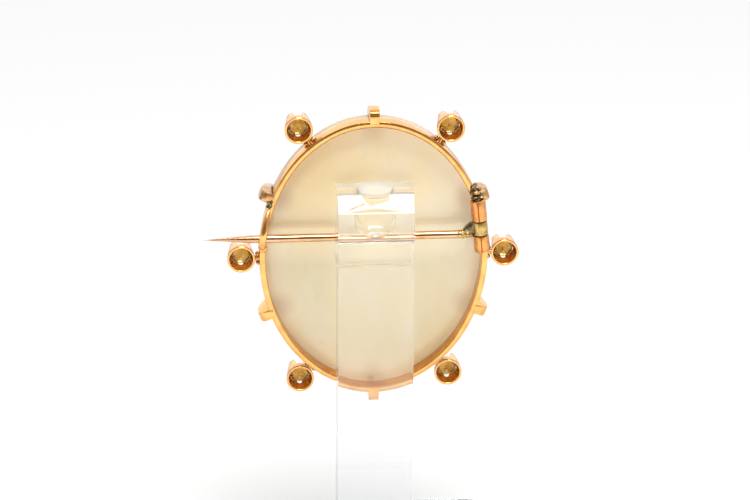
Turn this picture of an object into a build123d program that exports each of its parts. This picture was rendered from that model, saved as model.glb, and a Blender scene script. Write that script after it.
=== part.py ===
"""An oval cameo brooch, pinned upright on a clear bar stand.

The brooch stands in the XZ plane. Its carved front faces -Y and its back, with the pin,
faces +Y. The origin is the middle of the stand's underside. A depth is measured from the
ring's back face towards the carved front. Lengths are in millimetres.
"""

from build123d import *
from math import atan2, cos, degrees, hypot, radians, sin, sqrt, tan
import os

# Ring that carries the stone
ring_half_width = 18.9
ring_half_height = 23.65
ring_band = 1.0
ring_depth = 2.2
ring_edge_round = 0.12
centre_height = 58.0

# Stone
stone_inset = 0.15
stone_seat_gap = 0.04
stone_edge = 2.0
stone_bevel_width = 0.9
stone_bevel_depth = 0.5
stone_dome = 0.9
bust_rise = 1.6
hair_rise = 0.9
drape_rise = 0.45
relief_bury = 1.2

# Claws that hold the stone
claw_angles = (90, 30, -30, -90, -150, 150)
claw_width = 1.65
claw_sheet = 0.75
claw_reach = 1.9
claw_grip = 1.3
claw_gap = 0.1
claw_round = 0.15
claw_side_rise = 0.6
claw_knee_inset = 0.7
claw_knee_rise = 0.4
claw_knee_sheet = 0.4
claw_tip_rise = 0.14

# Collets round the small stones, and what joins them to the ring
collet_angles = (62.2, -0.9, -62.6, -119.0, 180.6, 118.6)
collet_gap = 0.7
collet_set_forward = 1.0
collet_back_radius = 2.28
collet_front_radius = 2.65
collet_length = 3.4
collet_wall = 0.32
collet_lip = 0.16
collet_foot_rim = 0.32
collet_teeth = 8
notch_share = 0.62
tooth_depth = 1.0
tooth_fold = 0.35
peg_radius = 0.42
peg_depth = 1.6
peg_bite_share = 0.6
grain_radius = 0.42
grain_offset = 0.8
grain_out = 0.2

# Small faceted stones
gem_gap = 0.05
gem_set = 1.2
gem_table_share = 0.56
gem_crown_share = 0.34
gem_pavilion_share = 0.8
gem_girdle = 0.15
gem_culet_share = 0.07
gem_sides = 8

# Hinge of the pin
hinge_lean = 6.1
hinge_height = 5.3
hinge_inset = 1.0
hinge_lift = 1.15
tube_radius = 1.3
knuckle_radius = 1.25
upper_tube_length = 3.5
lower_tube_length = 2.9
knuckle_length = 2.35
knuckle_gap = 0.12
rivet_radius = 0.5
rivet_clearance = 0.06
rivet_stand_out = 0.25
rivet_round = 0.2
saddle_width = 1.5
relief_clearance = 0.15

# Pin stem
stem_height = 4.15
stem_radius = 0.675
stem_start_gap = 0.35
stem_straight = 34.6
stem_taper = 8.6
stem_tip_radius = 0.07
taper_middle_radius = 0.42
shoulder_reach = 1.5
shoulder_sheet = 1.1
shoulder_overlap = 0.5
shoulder_above_stem = 0.54
shoulder_below_stem = 0.34
shoulder_top_share = 0.92
shoulder_bend_share = 0.35
shoulder_foot_share = 0.78

# C catch over the stem
catch_height = 1.8
catch_width = 1.25
catch_sheet = 0.72
catch_length = 7.8
catch_stem_gap = 0.15
catch_sink = 0.5
catch_back_gap = 0.5
catch_turn_share = 0.6
catch_turn_run = 0.8
catch_bow = 0.3
catch_bow_past_stem = 1.0
catch_fall_share = 0.72
catch_lip_run = 0.25
catch_lip_rise = 0.43

# Stand
bar_width = 12.5
near_wall = 3.35
lip_wall = 2.4
slot_clearance = 0.1
head_top = 12.08
head_bevel = 2.4
lip_top = 12.4
lip_drop = 1.0
ring_gap = 0.1
hole_diameter = 6.7
hole_end = 6.3
hole_point = 2.4
base_length = 44.0
base_depth = 40.0
base_sheet = 3.0
base_corner = 5.0
base_edge = 0.3
foot_round = 2.5

# How far a cutting shape runs past what it cuts, and how near a face counts as being there
cut_over = 1.0
face_reach = 0.01

# Dome of the stone: share of its rise, share of the bevelled half sizes
DOME = [(0.6, 0.68), (1.0, 0.25)]

# Profile bust on the stone, as shares of the stone's half width and half height.
# Each row is across, up. The face looks towards +X.
FACE_AND_NECK = [
    (-0.10, 0.58), (0.20, 0.64), (0.37, 0.56), (0.40, 0.44), (0.365, 0.385), (0.44, 0.29),
    (0.505, 0.225), (0.47, 0.185), (0.40, 0.175), (0.425, 0.135), (0.385, 0.105), (0.405, 0.07),
    (0.36, 0.03), (0.385, -0.025), (0.33, -0.075), (0.19, -0.07), (0.10, -0.12), (0.08, -0.24),
    (0.14, -0.36), (0.30, -0.46), (0.44, -0.56),
]
SHOULDERS = [
    (0.44, -0.56), (0.40, -0.66), (0.20, -0.74), (-0.05, -0.77), (-0.30, -0.73), (-0.50, -0.63),
    (-0.58, -0.54), (-0.48, -0.42), (-0.30, -0.33), (-0.24, -0.20),
]
BACK_OF_HEAD = [(-0.24, -0.20), (-0.34, 0.05), (-0.38, 0.30), (-0.10, 0.58)]
HAIR = [
    (0.36, 0.56), (0.30, 0.66), (0.12, 0.755), (-0.14, 0.77), (-0.36, 0.67), (-0.50, 0.50),
    (-0.62, 0.40), (-0.70, 0.26), (-0.66, 0.10), (-0.50, 0.02), (-0.34, 0.04), (-0.20, -0.02),
    (-0.10, 0.06), (-0.06, 0.18), (0.02, 0.32), (0.16, 0.44), (0.28, 0.50),
]
DRAPE = [
    (0.40, -0.60), (0.33, -0.67), (0.05, -0.74), (-0.25, -0.71), (-0.46, -0.62), (-0.52, -0.55),
    (-0.40, -0.47), (-0.20, -0.50), (0.02, -0.55), (0.22, -0.55),
]


def back_plane(depth=0.0):
    """The ring's back face, or a plane parallel to it that lies further forward."""
    return Plane(origin=(0, -depth, centre_height), x_dir=(1, 0, 0), z_dir=(0, -1, 0))


def ring_point(angle):
    """The point on the ring's outer edge in a direction seen from the front."""
    across, up = cos(radians(angle)), sin(radians(angle))
    reach = 1 / sqrt((across / ring_half_width) ** 2 + (up / ring_half_height) ** 2)
    return reach * across, reach * up


def ring_normal(angle):
    """The outward direction, square to the ring's edge, at that point."""
    across, up = ring_point(angle)
    slope_across, slope_up = across / ring_half_width**2, up / ring_half_height**2
    size = hypot(slope_across, slope_up)
    return slope_across / size, slope_up / size


def ring_edge_at(height):
    """How far the ring's outer edge lies from its middle line at a height."""
    return ring_half_width * sqrt(1 - (height / ring_half_height) ** 2)


def radial_plane(angle, outward=0.0, depth=0.0):
    """A plane square to the ring's edge: its x runs outwards and its y runs forwards."""
    across, up = ring_point(angle)
    nx, nz = ring_normal(angle)
    start = (across + outward * nx, -depth, centre_height + up + outward * nz)
    return Plane(origin=start, x_dir=(nx, 0, nz), z_dir=(nz, 0, -nx))


def collet_centre(angle):
    """Where the axis of a collet passes, across and up from the ring's middle."""
    across, up = ring_point(angle)
    nx, nz = ring_normal(angle)
    away = collet_gap + collet_back_radius
    return across + away * nx, up + away * nz


stone_back = ring_depth + stone_seat_gap
stone_front_edge = stone_back + stone_edge
bevel_front = stone_front_edge + stone_bevel_depth
dome_front = bevel_front + stone_dome
stone_half_width = ring_half_width - stone_inset
stone_half_height = ring_half_height - stone_inset
bevelled_half_width = stone_half_width - stone_bevel_width
bevelled_half_height = stone_half_height - stone_bevel_width

# One collet, standing at the origin with its open back towards +Y
front_inner = collet_front_radius - collet_wall
with BuildPart() as collet:
    with BuildSketch(Plane(origin=(0, 0, 0), x_dir=(1, 0, 0), z_dir=(0, 0, -1))):
        with BuildLine():
            Polyline(
                (collet_back_radius - collet_wall, 0),
                (collet_back_radius, 0),
                (collet_back_radius, collet_foot_rim),
                (collet_back_radius - collet_lip, collet_foot_rim + collet_lip),
                (collet_front_radius, collet_length - tooth_depth / 2),
                (collet_front_radius - collet_wall / 2, collet_length),
                (front_inner - tooth_fold, collet_length),
                (front_inner, collet_length - tooth_fold * 2),
                (collet_back_radius - collet_wall, 0),
            )
        make_face()
    revolve(axis=Axis.Y)
    for tooth in range(collet_teeth):
        swing = 360 * tooth / collet_teeth
        notch_plane = Plane(
            origin=(0, -collet_length, 0),
            x_dir=(sin(radians(swing)), 0, -cos(radians(swing))),
            z_dir=(cos(radians(swing)), 0, sin(radians(swing))),
        )
        with BuildSketch(notch_plane):
            half_notch = front_inner * tan(radians(180 / collet_teeth)) * notch_share
            with BuildLine():
                Polyline(
                    (-half_notch, 0),
                    (half_notch, 0),
                    (0, tooth_depth),
                    (-half_notch, 0),
                )
            make_face()
        extrude(amount=collet_front_radius + cut_over, mode=Mode.SUBTRACT)

# One small faceted stone, its table towards -Y and its point towards +Y
inner_slope = (front_inner - collet_back_radius + collet_wall) / (collet_length - tooth_fold * 2)
gem_depth = collet_length - gem_set
gem_radius = collet_back_radius - collet_wall + inner_slope * (gem_depth - gem_girdle) - gem_gap
gem_plane = Plane(origin=(0, -gem_depth, 0), x_dir=(1, 0, 0), z_dir=(0, -1, 0))
with BuildPart() as gem:
    with BuildSketch(gem_plane):
        RegularPolygon(gem_radius, gem_sides)
    with BuildSketch(gem_plane.offset(gem_radius * gem_crown_share)):
        RegularPolygon(gem_radius * gem_table_share, gem_sides, rotation=180 / gem_sides)
    loft(ruled=True)
    with BuildSketch(gem_plane):
        RegularPolygon(gem_radius, gem_sides)
    extrude(amount=-gem_girdle)
    with BuildSketch(gem_plane.offset(-gem_girdle)):
        RegularPolygon(gem_radius, gem_sides)
    with BuildSketch(gem_plane.offset(-gem_girdle - gem_radius * gem_pavilion_share)):
        RegularPolygon(gem_radius * gem_culet_share, gem_sides)
    loft(ruled=True)

collet_places = []
for angle in collet_angles:
    across, up = collet_centre(angle)
    collet_places.append(Location((across, -collet_set_forward, centre_height + up)))

# Hinge line of the pin, from its lower end to its upper end
hinge_x = -(ring_edge_at(hinge_height) - hinge_inset)
hinge_dir = (sin(radians(hinge_lean)), 0, cos(radians(hinge_lean)))


def hinge_plane(along):
    """A plane square to the hinge line, at a distance up from the knuckle's middle."""
    spot = (
        hinge_x + along * hinge_dir[0],
        hinge_lift,
        centre_height + hinge_height + along * hinge_dir[2],
    )
    return Plane(origin=spot, x_dir=(0, 1, 0), z_dir=hinge_dir)


knuckle_bottom = -knuckle_length / 2
knuckle_top = knuckle_length / 2
upper_tube_start = knuckle_top + knuckle_gap
lower_tube_start = knuckle_bottom - knuckle_gap - lower_tube_length
hinge_length = upper_tube_start + upper_tube_length - lower_tube_start
bore_radius = rivet_radius + rivet_clearance

# Frame: ring, claws, collets, hinge tubes and catch, soldered into one piece
catch_x = ring_edge_at(catch_height) - ring_band / 2
catch_lean = degrees(atan2(catch_x - ring_edge_at(catch_height + catch_length) + ring_band / 2, catch_length))
catch_axis = (-sin(radians(catch_lean)), 0, cos(radians(catch_lean)))
catch_plane = Plane(
    origin=(catch_x, 0, centre_height + catch_height),
    x_dir=catch_axis,
    z_dir=(-catch_axis[2], 0, catch_axis[0]),
)
catch_inside = hinge_lift + stem_radius + catch_stem_gap
stem_along_catch = (stem_height - catch_height) / cos(radians(catch_lean))
catch_back = stem_along_catch - stem_radius - catch_stem_gap - catch_back_gap
bow_along = stem_along_catch + catch_bow_past_stem
claw_knee_out = claw_reach - claw_knee_inset
saddle_depth = hinge_lift + ring_band / 2

with BuildPart() as frame:
    with BuildSketch(back_plane()):
        Ellipse(ring_half_width, ring_half_height)
        Ellipse(ring_half_width - ring_band, ring_half_height - ring_band, mode=Mode.SUBTRACT)
    extrude(amount=ring_depth)
    back_edges = frame.edges().filter_by_position(Axis.Y, -face_reach, face_reach)
    fillet(back_edges, ring_edge_round)

    for angle in claw_angles:
        with BuildSketch(radial_plane(angle)):
            with BuildLine():
                Polyline(
                    (-ring_band / 2, 0),
                    (claw_reach, 0),
                    (claw_reach, ring_depth + claw_side_rise),
                    (claw_knee_out, stone_front_edge + claw_knee_rise),
                    (0, bevel_front + claw_sheet),
                    (-claw_grip, bevel_front + claw_tip_rise + claw_sheet),
                    (-claw_grip, bevel_front + claw_tip_rise + claw_gap),
                    (-stone_inset, stone_front_edge + claw_gap),
                    (claw_knee_out - claw_knee_sheet, stone_front_edge - claw_side_rise),
                    (claw_reach - claw_sheet, ring_depth),
                    (claw_reach - claw_sheet, claw_sheet),
                    (-ring_band / 2, claw_sheet),
                    (-ring_band / 2, 0),
                )
            claw_face = make_face()
            fillet(claw_face.vertices().sort_by_distance((claw_reach, 0, 0))[:1], claw_round)
        extrude(amount=claw_width / 2, both=True)

    peg_length = ring_band / 2 + collet_gap + collet_wall * peg_bite_share
    for angle, place in zip(collet_angles, collet_places):
        with BuildSketch(radial_plane(angle, outward=-ring_band / 2, depth=peg_depth)):
            with BuildLine():
                Polyline(
                    (0, -peg_radius),
                    (peg_length, -peg_radius),
                    (peg_length, 0),
                    (0, 0),
                    (0, -peg_radius),
                )
            make_face()
        across, up = ring_point(angle)
        nx, nz = ring_normal(angle)
        peg_line = Axis((across, -peg_depth, centre_height + up), (nx, 0, nz))
        revolve(axis=peg_line)
        for side in (-1, 1):
            grain_spot = (
                across + nx * grain_out - side * nz * grain_offset,
                -peg_depth,
                centre_height + up + nz * grain_out + side * nx * grain_offset,
            )
            with Locations(grain_spot):
                Sphere(grain_radius)
        with Locations(place):
            add(collet.part)

    for start, length in ((lower_tube_start, lower_tube_length), (upper_tube_start, upper_tube_length)):
        with BuildSketch(hinge_plane(start)):
            Circle(tube_radius)
            with Locations((-saddle_depth / 2, 0)):
                Rectangle(saddle_depth, saddle_width)
        extrude(amount=length)
    with BuildSketch(hinge_plane(knuckle_bottom - knuckle_gap)):
        Circle(tube_radius + relief_clearance)
    extrude(amount=knuckle_length + 2 * knuckle_gap, mode=Mode.SUBTRACT)
    with BuildSketch(hinge_plane(lower_tube_start - cut_over)):
        Circle(bore_radius)
    extrude(amount=hinge_length + 2 * cut_over, mode=Mode.SUBTRACT)

    with BuildSketch(catch_plane):
        with BuildLine():
            inner_back = Line((catch_back, -catch_sink), (catch_back, catch_inside * catch_turn_share))
            inner_roof = Spline(
                inner_back @ 1,
                (catch_back + catch_turn_run, catch_inside),
                (bow_along, catch_inside + catch_bow),
                (catch_length * catch_fall_share, catch_inside),
                (catch_length, 2 * stem_radius + catch_stem_gap),
            )
            lip = Line(inner_roof @ 1, (catch_length + catch_lip_run, (inner_roof @ 1).Y + catch_lip_rise))
            outer_roof = Spline(
                lip @ 1,
                (catch_length * catch_fall_share, catch_inside + catch_sheet),
                (bow_along, catch_inside + catch_bow + catch_sheet),
                (catch_back, catch_inside + catch_sheet * catch_turn_share),
                (catch_back - catch_sheet, catch_inside * catch_turn_share),
            )
            outer_back = Line(outer_roof @ 1, (catch_back - catch_sheet, -catch_sink))
            Line(outer_back @ 1, inner_back @ 0)
        make_face()
    extrude(amount=catch_width / 2, both=True)

# Rivet through the three knuckles
with BuildPart() as hinge_rivet:
    with BuildSketch(hinge_plane(lower_tube_start - rivet_stand_out)):
        Circle(rivet_radius)
    extrude(amount=hinge_length + 2 * rivet_stand_out)
    fillet(hinge_rivet.edges().filter_by(GeomType.CIRCLE), rivet_round)

# Pin: knuckle, shoulder and stem
stem_start = hinge_x + tube_radius / cos(radians(hinge_lean)) + stem_start_gap + stem_radius
stem_level = centre_height + stem_height
stem_rise = stem_height - hinge_height
with BuildPart() as pin:
    with BuildSketch(hinge_plane(knuckle_bottom)):
        Circle(knuckle_radius)
    extrude(amount=knuckle_length)
    with BuildSketch(Plane(origin=(hinge_x, hinge_lift, centre_height + hinge_height),
                           x_dir=(1, 0, 0), z_dir=(0, -1, 0))):
        with BuildLine():
            Polyline(
                (0, knuckle_top * shoulder_top_share),
                (knuckle_radius, knuckle_top * shoulder_top_share),
                (knuckle_radius + shoulder_reach, knuckle_top * shoulder_bend_share),
                (stem_start - hinge_x + shoulder_overlap, stem_rise + shoulder_above_stem),
                (stem_start - hinge_x, stem_rise - shoulder_below_stem),
                (knuckle_radius, knuckle_bottom * shoulder_foot_share),
                (0, knuckle_bottom * shoulder_foot_share),
                (0, knuckle_top * shoulder_top_share),
            )
        make_face()
    extrude(amount=shoulder_sheet / 2, both=True)
    with BuildSketch(Plane(origin=(stem_start, hinge_lift, stem_level), x_dir=(1, 0, 0), z_dir=(0, -1, 0))):
        with BuildLine():
            start_cap = Line((-stem_radius, 0), (stem_straight + stem_taper, 0))
            tip_side = Line(start_cap @ 1, (stem_straight + stem_taper, stem_tip_radius))
            taper = Spline(
                tip_side @ 1,
                (stem_straight + stem_taper / 2, taper_middle_radius),
                (stem_straight, stem_radius),
                tangents=((-1, stem_radius / stem_taper), (-1, 0)),
            )
            upper_side = Line(taper @ 1, (0, stem_radius))
            cap_middle = stem_radius * sqrt(0.5)
            ThreePointArc(upper_side @ 1, (-cap_middle, cap_middle), start_cap @ 0)
        make_face()
    revolve(axis=Axis((0, hinge_lift, stem_level), (1, 0, 0)))
    with BuildSketch(hinge_plane(knuckle_bottom - cut_over)):
        Circle(bore_radius)
    extrude(amount=knuckle_length + 2 * cut_over, mode=Mode.SUBTRACT)

# Cameo: an oval stone, bevelled and domed in front, with a raised profile bust
with BuildPart() as cameo:
    with BuildSketch(back_plane(stone_back)):
        Ellipse(stone_half_width, stone_half_height)
    extrude(amount=stone_edge)
    with BuildSketch(back_plane(stone_front_edge)):
        Ellipse(stone_half_width, stone_half_height)
    with BuildSketch(back_plane(bevel_front)):
        Ellipse(bevelled_half_width, bevelled_half_height)
    loft(ruled=True)
    with BuildSketch(back_plane(bevel_front)):
        Ellipse(bevelled_half_width, bevelled_half_height)
    for rise_share, size_share in DOME:
        with BuildSketch(back_plane(bevel_front + stone_dome * rise_share)):
            Ellipse(bevelled_half_width * size_share, bevelled_half_height * size_share)
    loft()

    relief_start = dome_front - relief_bury
    layers = (
        ((FACE_AND_NECK, SHOULDERS, BACK_OF_HEAD), bust_rise),
        ((HAIR + HAIR[:1],), bust_rise + hair_rise),
        ((DRAPE + DRAPE[:1],), bust_rise + drape_rise),
    )
    for outlines, rise in layers:
        with BuildSketch(back_plane(relief_start)):
            with BuildLine():
                for outline in outlines:
                    spots = [(across * stone_half_width, up * stone_half_height) for across, up in outline]
                    Polyline(*spots)
            make_face()
        extrude(amount=relief_bury + rise)

# Stand: a base plate and a bar with a slot in its head for the stem and a drilled hole for a post
slot = 2 * stem_radius + slot_clearance
near_side = hinge_lift + slot / 2
far_side = hinge_lift - slot / 2
bar_face = near_side + near_wall
lip_face = far_side - lip_wall
head_level = centre_height + head_top
lip_level = centre_height + lip_top
lip_foot = centre_height - lip_drop
hole_radius = hole_diameter / 2
hole_floor = centre_height + hole_end
with BuildPart() as stand:
    with BuildSketch(Plane(origin=(0, 0, 0), x_dir=(0, 1, 0), z_dir=(1, 0, 0))):
        with BuildLine():
            near_face = Line((bar_face, 0), (bar_face, head_level - head_bevel))
            bevel = Line(near_face @ 1, (bar_face - head_bevel, head_level))
            head = Line(bevel @ 1, (near_side, head_level))
            slot_near = Line(head @ 1, (near_side, stem_level))
            slot_floor = ThreePointArc(slot_near @ 1, (hinge_lift, stem_level - slot / 2), (far_side, stem_level))
            slot_far = Line(slot_floor @ 1, (far_side, lip_level))
            lip_edge = Line(slot_far @ 1, (lip_face, lip_level))
            lip_back = Line(lip_edge @ 1, (lip_face, lip_foot))
            lip_end = Line(lip_back @ 1, (ring_gap, lip_foot))
            bar_back = Line(lip_end @ 1, (ring_gap, 0))
            Line(bar_back @ 1, near_face @ 0)
        make_face()
    extrude(amount=bar_width / 2, both=True)
    with BuildSketch(Plane(origin=(0, hinge_lift, 0), x_dir=(1, 0, 0), z_dir=(0, -1, 0))):
        with BuildLine():
            Polyline(
                (0, hole_floor - hole_point),
                (hole_radius, hole_floor),
                (hole_radius, lip_level + cut_over),
                (0, lip_level + cut_over),
                (0, hole_floor - hole_point),
            )
        make_face()
    revolve(axis=Axis((0, hinge_lift, 0), (0, 0, 1)), mode=Mode.SUBTRACT)
    with BuildSketch(Plane.XY):
        RectangleRounded(base_length, base_depth, base_corner)
    extrude(amount=base_sheet)
    top_edges = stand.edges().filter_by(Axis.X).filter_by_position(
        Axis.Z, base_sheet - face_reach, base_sheet + face_reach)
    foot_edges = top_edges.filter_by_position(Axis.Y, bar_face - face_reach, bar_face + face_reach)
    fillet(foot_edges, foot_round)
    underside = stand.faces().filter_by(Axis.Z).filter_by_position(Axis.Z, -face_reach, face_reach)
    chamfer(underside[0].edges(), base_edge)

os.makedirs("parts", exist_ok=True)

stand.part.label = "stand"
export_step(stand.part, "parts/stand.step")
pin.part.label = "pin"
export_step(pin.part, "parts/pin.step")
hinge_rivet.part.label = "hinge_rivet"
export_step(hinge_rivet.part, "parts/hinge_rivet.step")
frame.part.label = "frame"
export_step(frame.part, "parts/frame.step")
cameo.part.label = "cameo"
export_step(cameo.part, "parts/cameo.step")

for number, place in enumerate(collet_places, start=1):
    citrine = gem.part.moved(place)
    citrine.label = f"citrine_{number}"
    export_step(citrine, f"parts/citrine_{number}.step")
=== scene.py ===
"""The looks of an oval cameo brooch that hangs by its pin in a clear stand.

The pieces are worked out in millimetres from the middle of the ring's back face: across runs to
+X, up runs to +Z, and a depth runs towards the carved front, to -Y. They are turned into metres
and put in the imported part's own frame when they are made. The brooch's back, with the pin, faces
+Y and the camera.
"""

import logging
import math
from abc import ABC, abstractmethod
from dataclasses import dataclass, field
from enum import Enum

import bmesh
import bpy
import numpy as np
from mathutils import Matrix, Vector, noise


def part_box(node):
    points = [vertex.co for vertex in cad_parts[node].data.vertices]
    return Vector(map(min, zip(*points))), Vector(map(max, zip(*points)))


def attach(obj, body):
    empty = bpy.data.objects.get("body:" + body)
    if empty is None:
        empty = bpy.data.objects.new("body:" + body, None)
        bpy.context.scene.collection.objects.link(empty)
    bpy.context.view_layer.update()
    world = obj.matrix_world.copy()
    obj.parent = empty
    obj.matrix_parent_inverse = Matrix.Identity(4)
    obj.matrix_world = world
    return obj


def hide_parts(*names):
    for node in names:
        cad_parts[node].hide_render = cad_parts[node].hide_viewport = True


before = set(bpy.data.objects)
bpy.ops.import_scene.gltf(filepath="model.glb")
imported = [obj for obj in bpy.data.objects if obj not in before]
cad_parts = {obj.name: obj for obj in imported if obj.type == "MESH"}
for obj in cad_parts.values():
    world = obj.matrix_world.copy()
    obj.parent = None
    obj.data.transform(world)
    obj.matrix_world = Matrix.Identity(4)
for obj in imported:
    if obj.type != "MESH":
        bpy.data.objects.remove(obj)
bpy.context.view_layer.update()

LOG = logging.getLogger("brooch")
MM = 0.001
Pair = tuple[float, float]
Triple = tuple[float, float, float]
Colour = Triple
BLACK: Colour = (0.0, 0.0, 0.0)
WHITE: Colour = (1.0, 1.0, 1.0)


class Body(Enum):
    """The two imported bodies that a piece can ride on."""

    SUPPORT = "support"
    BROOCH = "brooch"


class Slot(Enum):
    """The record's material slots."""

    ACRYLIC = "acrylic"
    GOLD = "gold"
    STONE = "chalcedony"
    CITRINE = "citrine"


# Shader writing


class Signal:
    """One output socket of a shader, used as a number in ordinary sums."""

    def __init__(self, graph: "Graph", socket: bpy.types.NodeSocket) -> None:
        """Keep the socket and the graph that it belongs to."""
        self.graph = graph
        self.socket = socket

    def __add__(self, other: "Signal | float") -> "Signal":
        """This signal plus another."""
        return self.graph.sum_up("ADD", self, other)

    def __radd__(self, other: float) -> "Signal":
        """A number plus this signal."""
        return self.graph.sum_up("ADD", other, self)

    def __sub__(self, other: "Signal | float") -> "Signal":
        """This signal less another."""
        return self.graph.sum_up("SUBTRACT", self, other)

    def __rsub__(self, other: float) -> "Signal":
        """A number less this signal."""
        return self.graph.sum_up("SUBTRACT", other, self)

    def __mul__(self, other: "Signal | float") -> "Signal":
        """This signal times another."""
        return self.graph.sum_up("MULTIPLY", self, other)

    def __rmul__(self, other: float) -> "Signal":
        """A number times this signal."""
        return self.graph.sum_up("MULTIPLY", other, self)

    def __pow__(self, other: float) -> "Signal":
        """This signal raised to a power."""
        return self.graph.sum_up("POWER", self, other)

    def __rpow__(self, other: float) -> "Signal":
        """A number raised to this signal."""
        return self.graph.sum_up("POWER", other, self)

    def stepped(self, low: float, high: float) -> "Signal":
        """A smooth step.

        Args:
            low: where it is 0.
            high: where it is 1.

        Returns:
            The step, held at 0 and at 1 outside them.
        """
        return self.graph.signal(
            "ShaderNodeMapRange", "Result",
            {"interpolation_type": "SMOOTHSTEP", "clamp": True},
            {"Value": self, "From Min": low, "From Max": high, "To Min": 0.0, "To Max": 1.0},
        )


class Graph:
    """The node tree of one finish."""

    def __init__(self, tree: bpy.types.NodeTree) -> None:
        """Start with an empty tree."""
        tree.nodes.clear()
        self.tree = tree

    def node(self, kind: str, settings: dict | None = None, inputs: dict | None = None) -> bpy.types.Node:
        """Add a node.

        Args:
            kind: the node's type name.
            settings: its own settings, set first.
            inputs: a value or a Signal for each input, by name or number.

        Returns:
            The new node.
        """
        node = self.tree.nodes.new(kind)
        for name, value in (settings or {}).items():
            setattr(node, name, value)
        for key, value in (inputs or {}).items():
            if isinstance(value, Signal):
                self.tree.links.new(value.socket, node.inputs[key])
            else:
                node.inputs[key].default_value = value
        return node

    def signal(self, kind: str, output: str | int, settings: dict | None = None,
               inputs: dict | None = None) -> Signal:
        """Add a node and take one of its outputs.

        Args:
            kind: the node's type name.
            output: the output, by name or number.
            settings: the node's own settings.
            inputs: a value or a Signal for each input.

        Returns:
            The output.
        """
        return Signal(self, self.node(kind, settings, inputs).outputs[output])

    def sum_up(self, operation: str, first: Signal | float, second: Signal | float) -> Signal:
        """One Math node on two values."""
        return self.signal("ShaderNodeMath", 0, {"operation": operation}, {0: first, 1: second})

    def place(self, stretch: Triple = (1.0, 1.0, 1.0), turn: Triple = (0.0, 0.0, 0.0)) -> Signal:
        """The point on the surface in the part's own frame, turned and stretched along its axes.

        Args:
            stretch: the factor along each axis.
            turn: the turn about each axis, in degrees.

        Returns:
            The place as a vector.
        """
        return self.signal(
            "ShaderNodeMapping", "Vector",
            {"vector_type": "POINT"},
            {"Vector": self.signal("ShaderNodeTexCoord", "Object"), "Scale": stretch,
             "Rotation": [math.radians(t) for t in turn]},
        )

    def along(self, axis: str) -> Signal:
        """The place along one axis of the part's own frame, in metres."""
        return self.signal("ShaderNodeSeparateXYZ", axis, None, {"Vector": self.place()})

    def toward(self, way: Signal, direction: Triple) -> Signal:
        """How much a way points in a direction: their dot product."""
        return self.signal("ShaderNodeVectorMath", "Value", {"operation": "DOT_PRODUCT"},
                           {0: way, 1: direction})

    def cloud(self, size: float, detail: float = 3.0, roughness: float = 0.5,
              where: Signal | None = None) -> Signal:
        """Noise with patches of about a given size.

        Args:
            size: the size of a patch in millimetres.
            detail: how many finer octaves it has.
            roughness: how strong those are.
            where: the place it is read at, or the plain one.

        Returns:
            A number about 0.5, from 0 to 1.
        """
        return self.signal(
            "ShaderNodeTexNoise", "Fac",
            {"noise_dimensions": "3D"},
            {"Vector": where or self.place(), "Scale": 1.0 / (size * MM), "Detail": detail,
             "Roughness": roughness},
        )

    def apart(self, stretch: Triple, spot: Triple) -> Signal:
        """How far the point on the surface, stretched along its axes, is from a spot."""
        return self.signal("ShaderNodeVectorMath", "Value", {"operation": "DISTANCE"},
                           {0: self.place(stretch), 1: spot})

    def near(self, spot: Vector, reach: float) -> Signal:
        """A soft patch about a point, whose depth along Y counts for nothing.

        Args:
            spot: its middle, in metres.
            reach: the distance in millimetres at which it has faded out.

        Returns:
            1 at the middle, 0 past the reach.
        """
        return self.apart((1.0, 0.0, 1.0), (spot.x, 0.0, spot.z)).stepped(reach * MM, 0.0)

    def blend(self, share: Signal | float, first: Signal | Colour, second: Signal | Colour) -> Signal:
        """A colour between two colours.

        Args:
            share: how much of the second there is.
            first: the colour at 0.
            second: the colour at 1.

        Returns:
            The mixed colour.
        """
        ends = [c if isinstance(c, Signal) else (*c, 1.0) for c in (first, second)]
        return self.signal("ShaderNodeMix", 2, {"data_type": "RGBA"}, {0: share, 6: ends[0], 7: ends[1]})

    def hollow(self, reach: float) -> Signal:
        """How deep a place lies in a corner or groove.

        Args:
            reach: how far it looks, in millimetres.

        Returns:
            0 on an open face, towards 1 in a tight corner.
        """
        return 1.0 - self.signal("ShaderNodeAmbientOcclusion", "AO", {"samples": 8, "only_local": False},
                                 {"Distance": reach * MM})

    def relief(self, height: Signal, deep: float, strength: float) -> Signal:
        """A bumped normal.

        Args:
            height: the height over the surface, from 0 to 1.
            deep: what a height of 1 stands for, in millimetres.
            strength: how strongly it shows.

        Returns:
            The normal.
        """
        return self.signal("ShaderNodeBump", "Normal", None,
                           {"Height": height, "Distance": deep * MM, "Strength": strength})

    def surface(self, inputs: dict) -> None:
        """End the graph in one Principled shader with these inputs."""
        shader = self.signal("ShaderNodeBsdfPrincipled", "BSDF", None, inputs)
        self.node("ShaderNodeOutputMaterial", None, {"Surface": shader})


def new_material(name: str) -> tuple[bpy.types.Material, Graph]:
    """Start a material.

    Args:
        name: the material's name.

    Returns:
        The material with an empty node tree, and the graph that fills it.
    """
    material = bpy.data.materials.new(name)
    material.use_nodes = True
    return material, Graph(material.node_tree)


# Finishes


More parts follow.
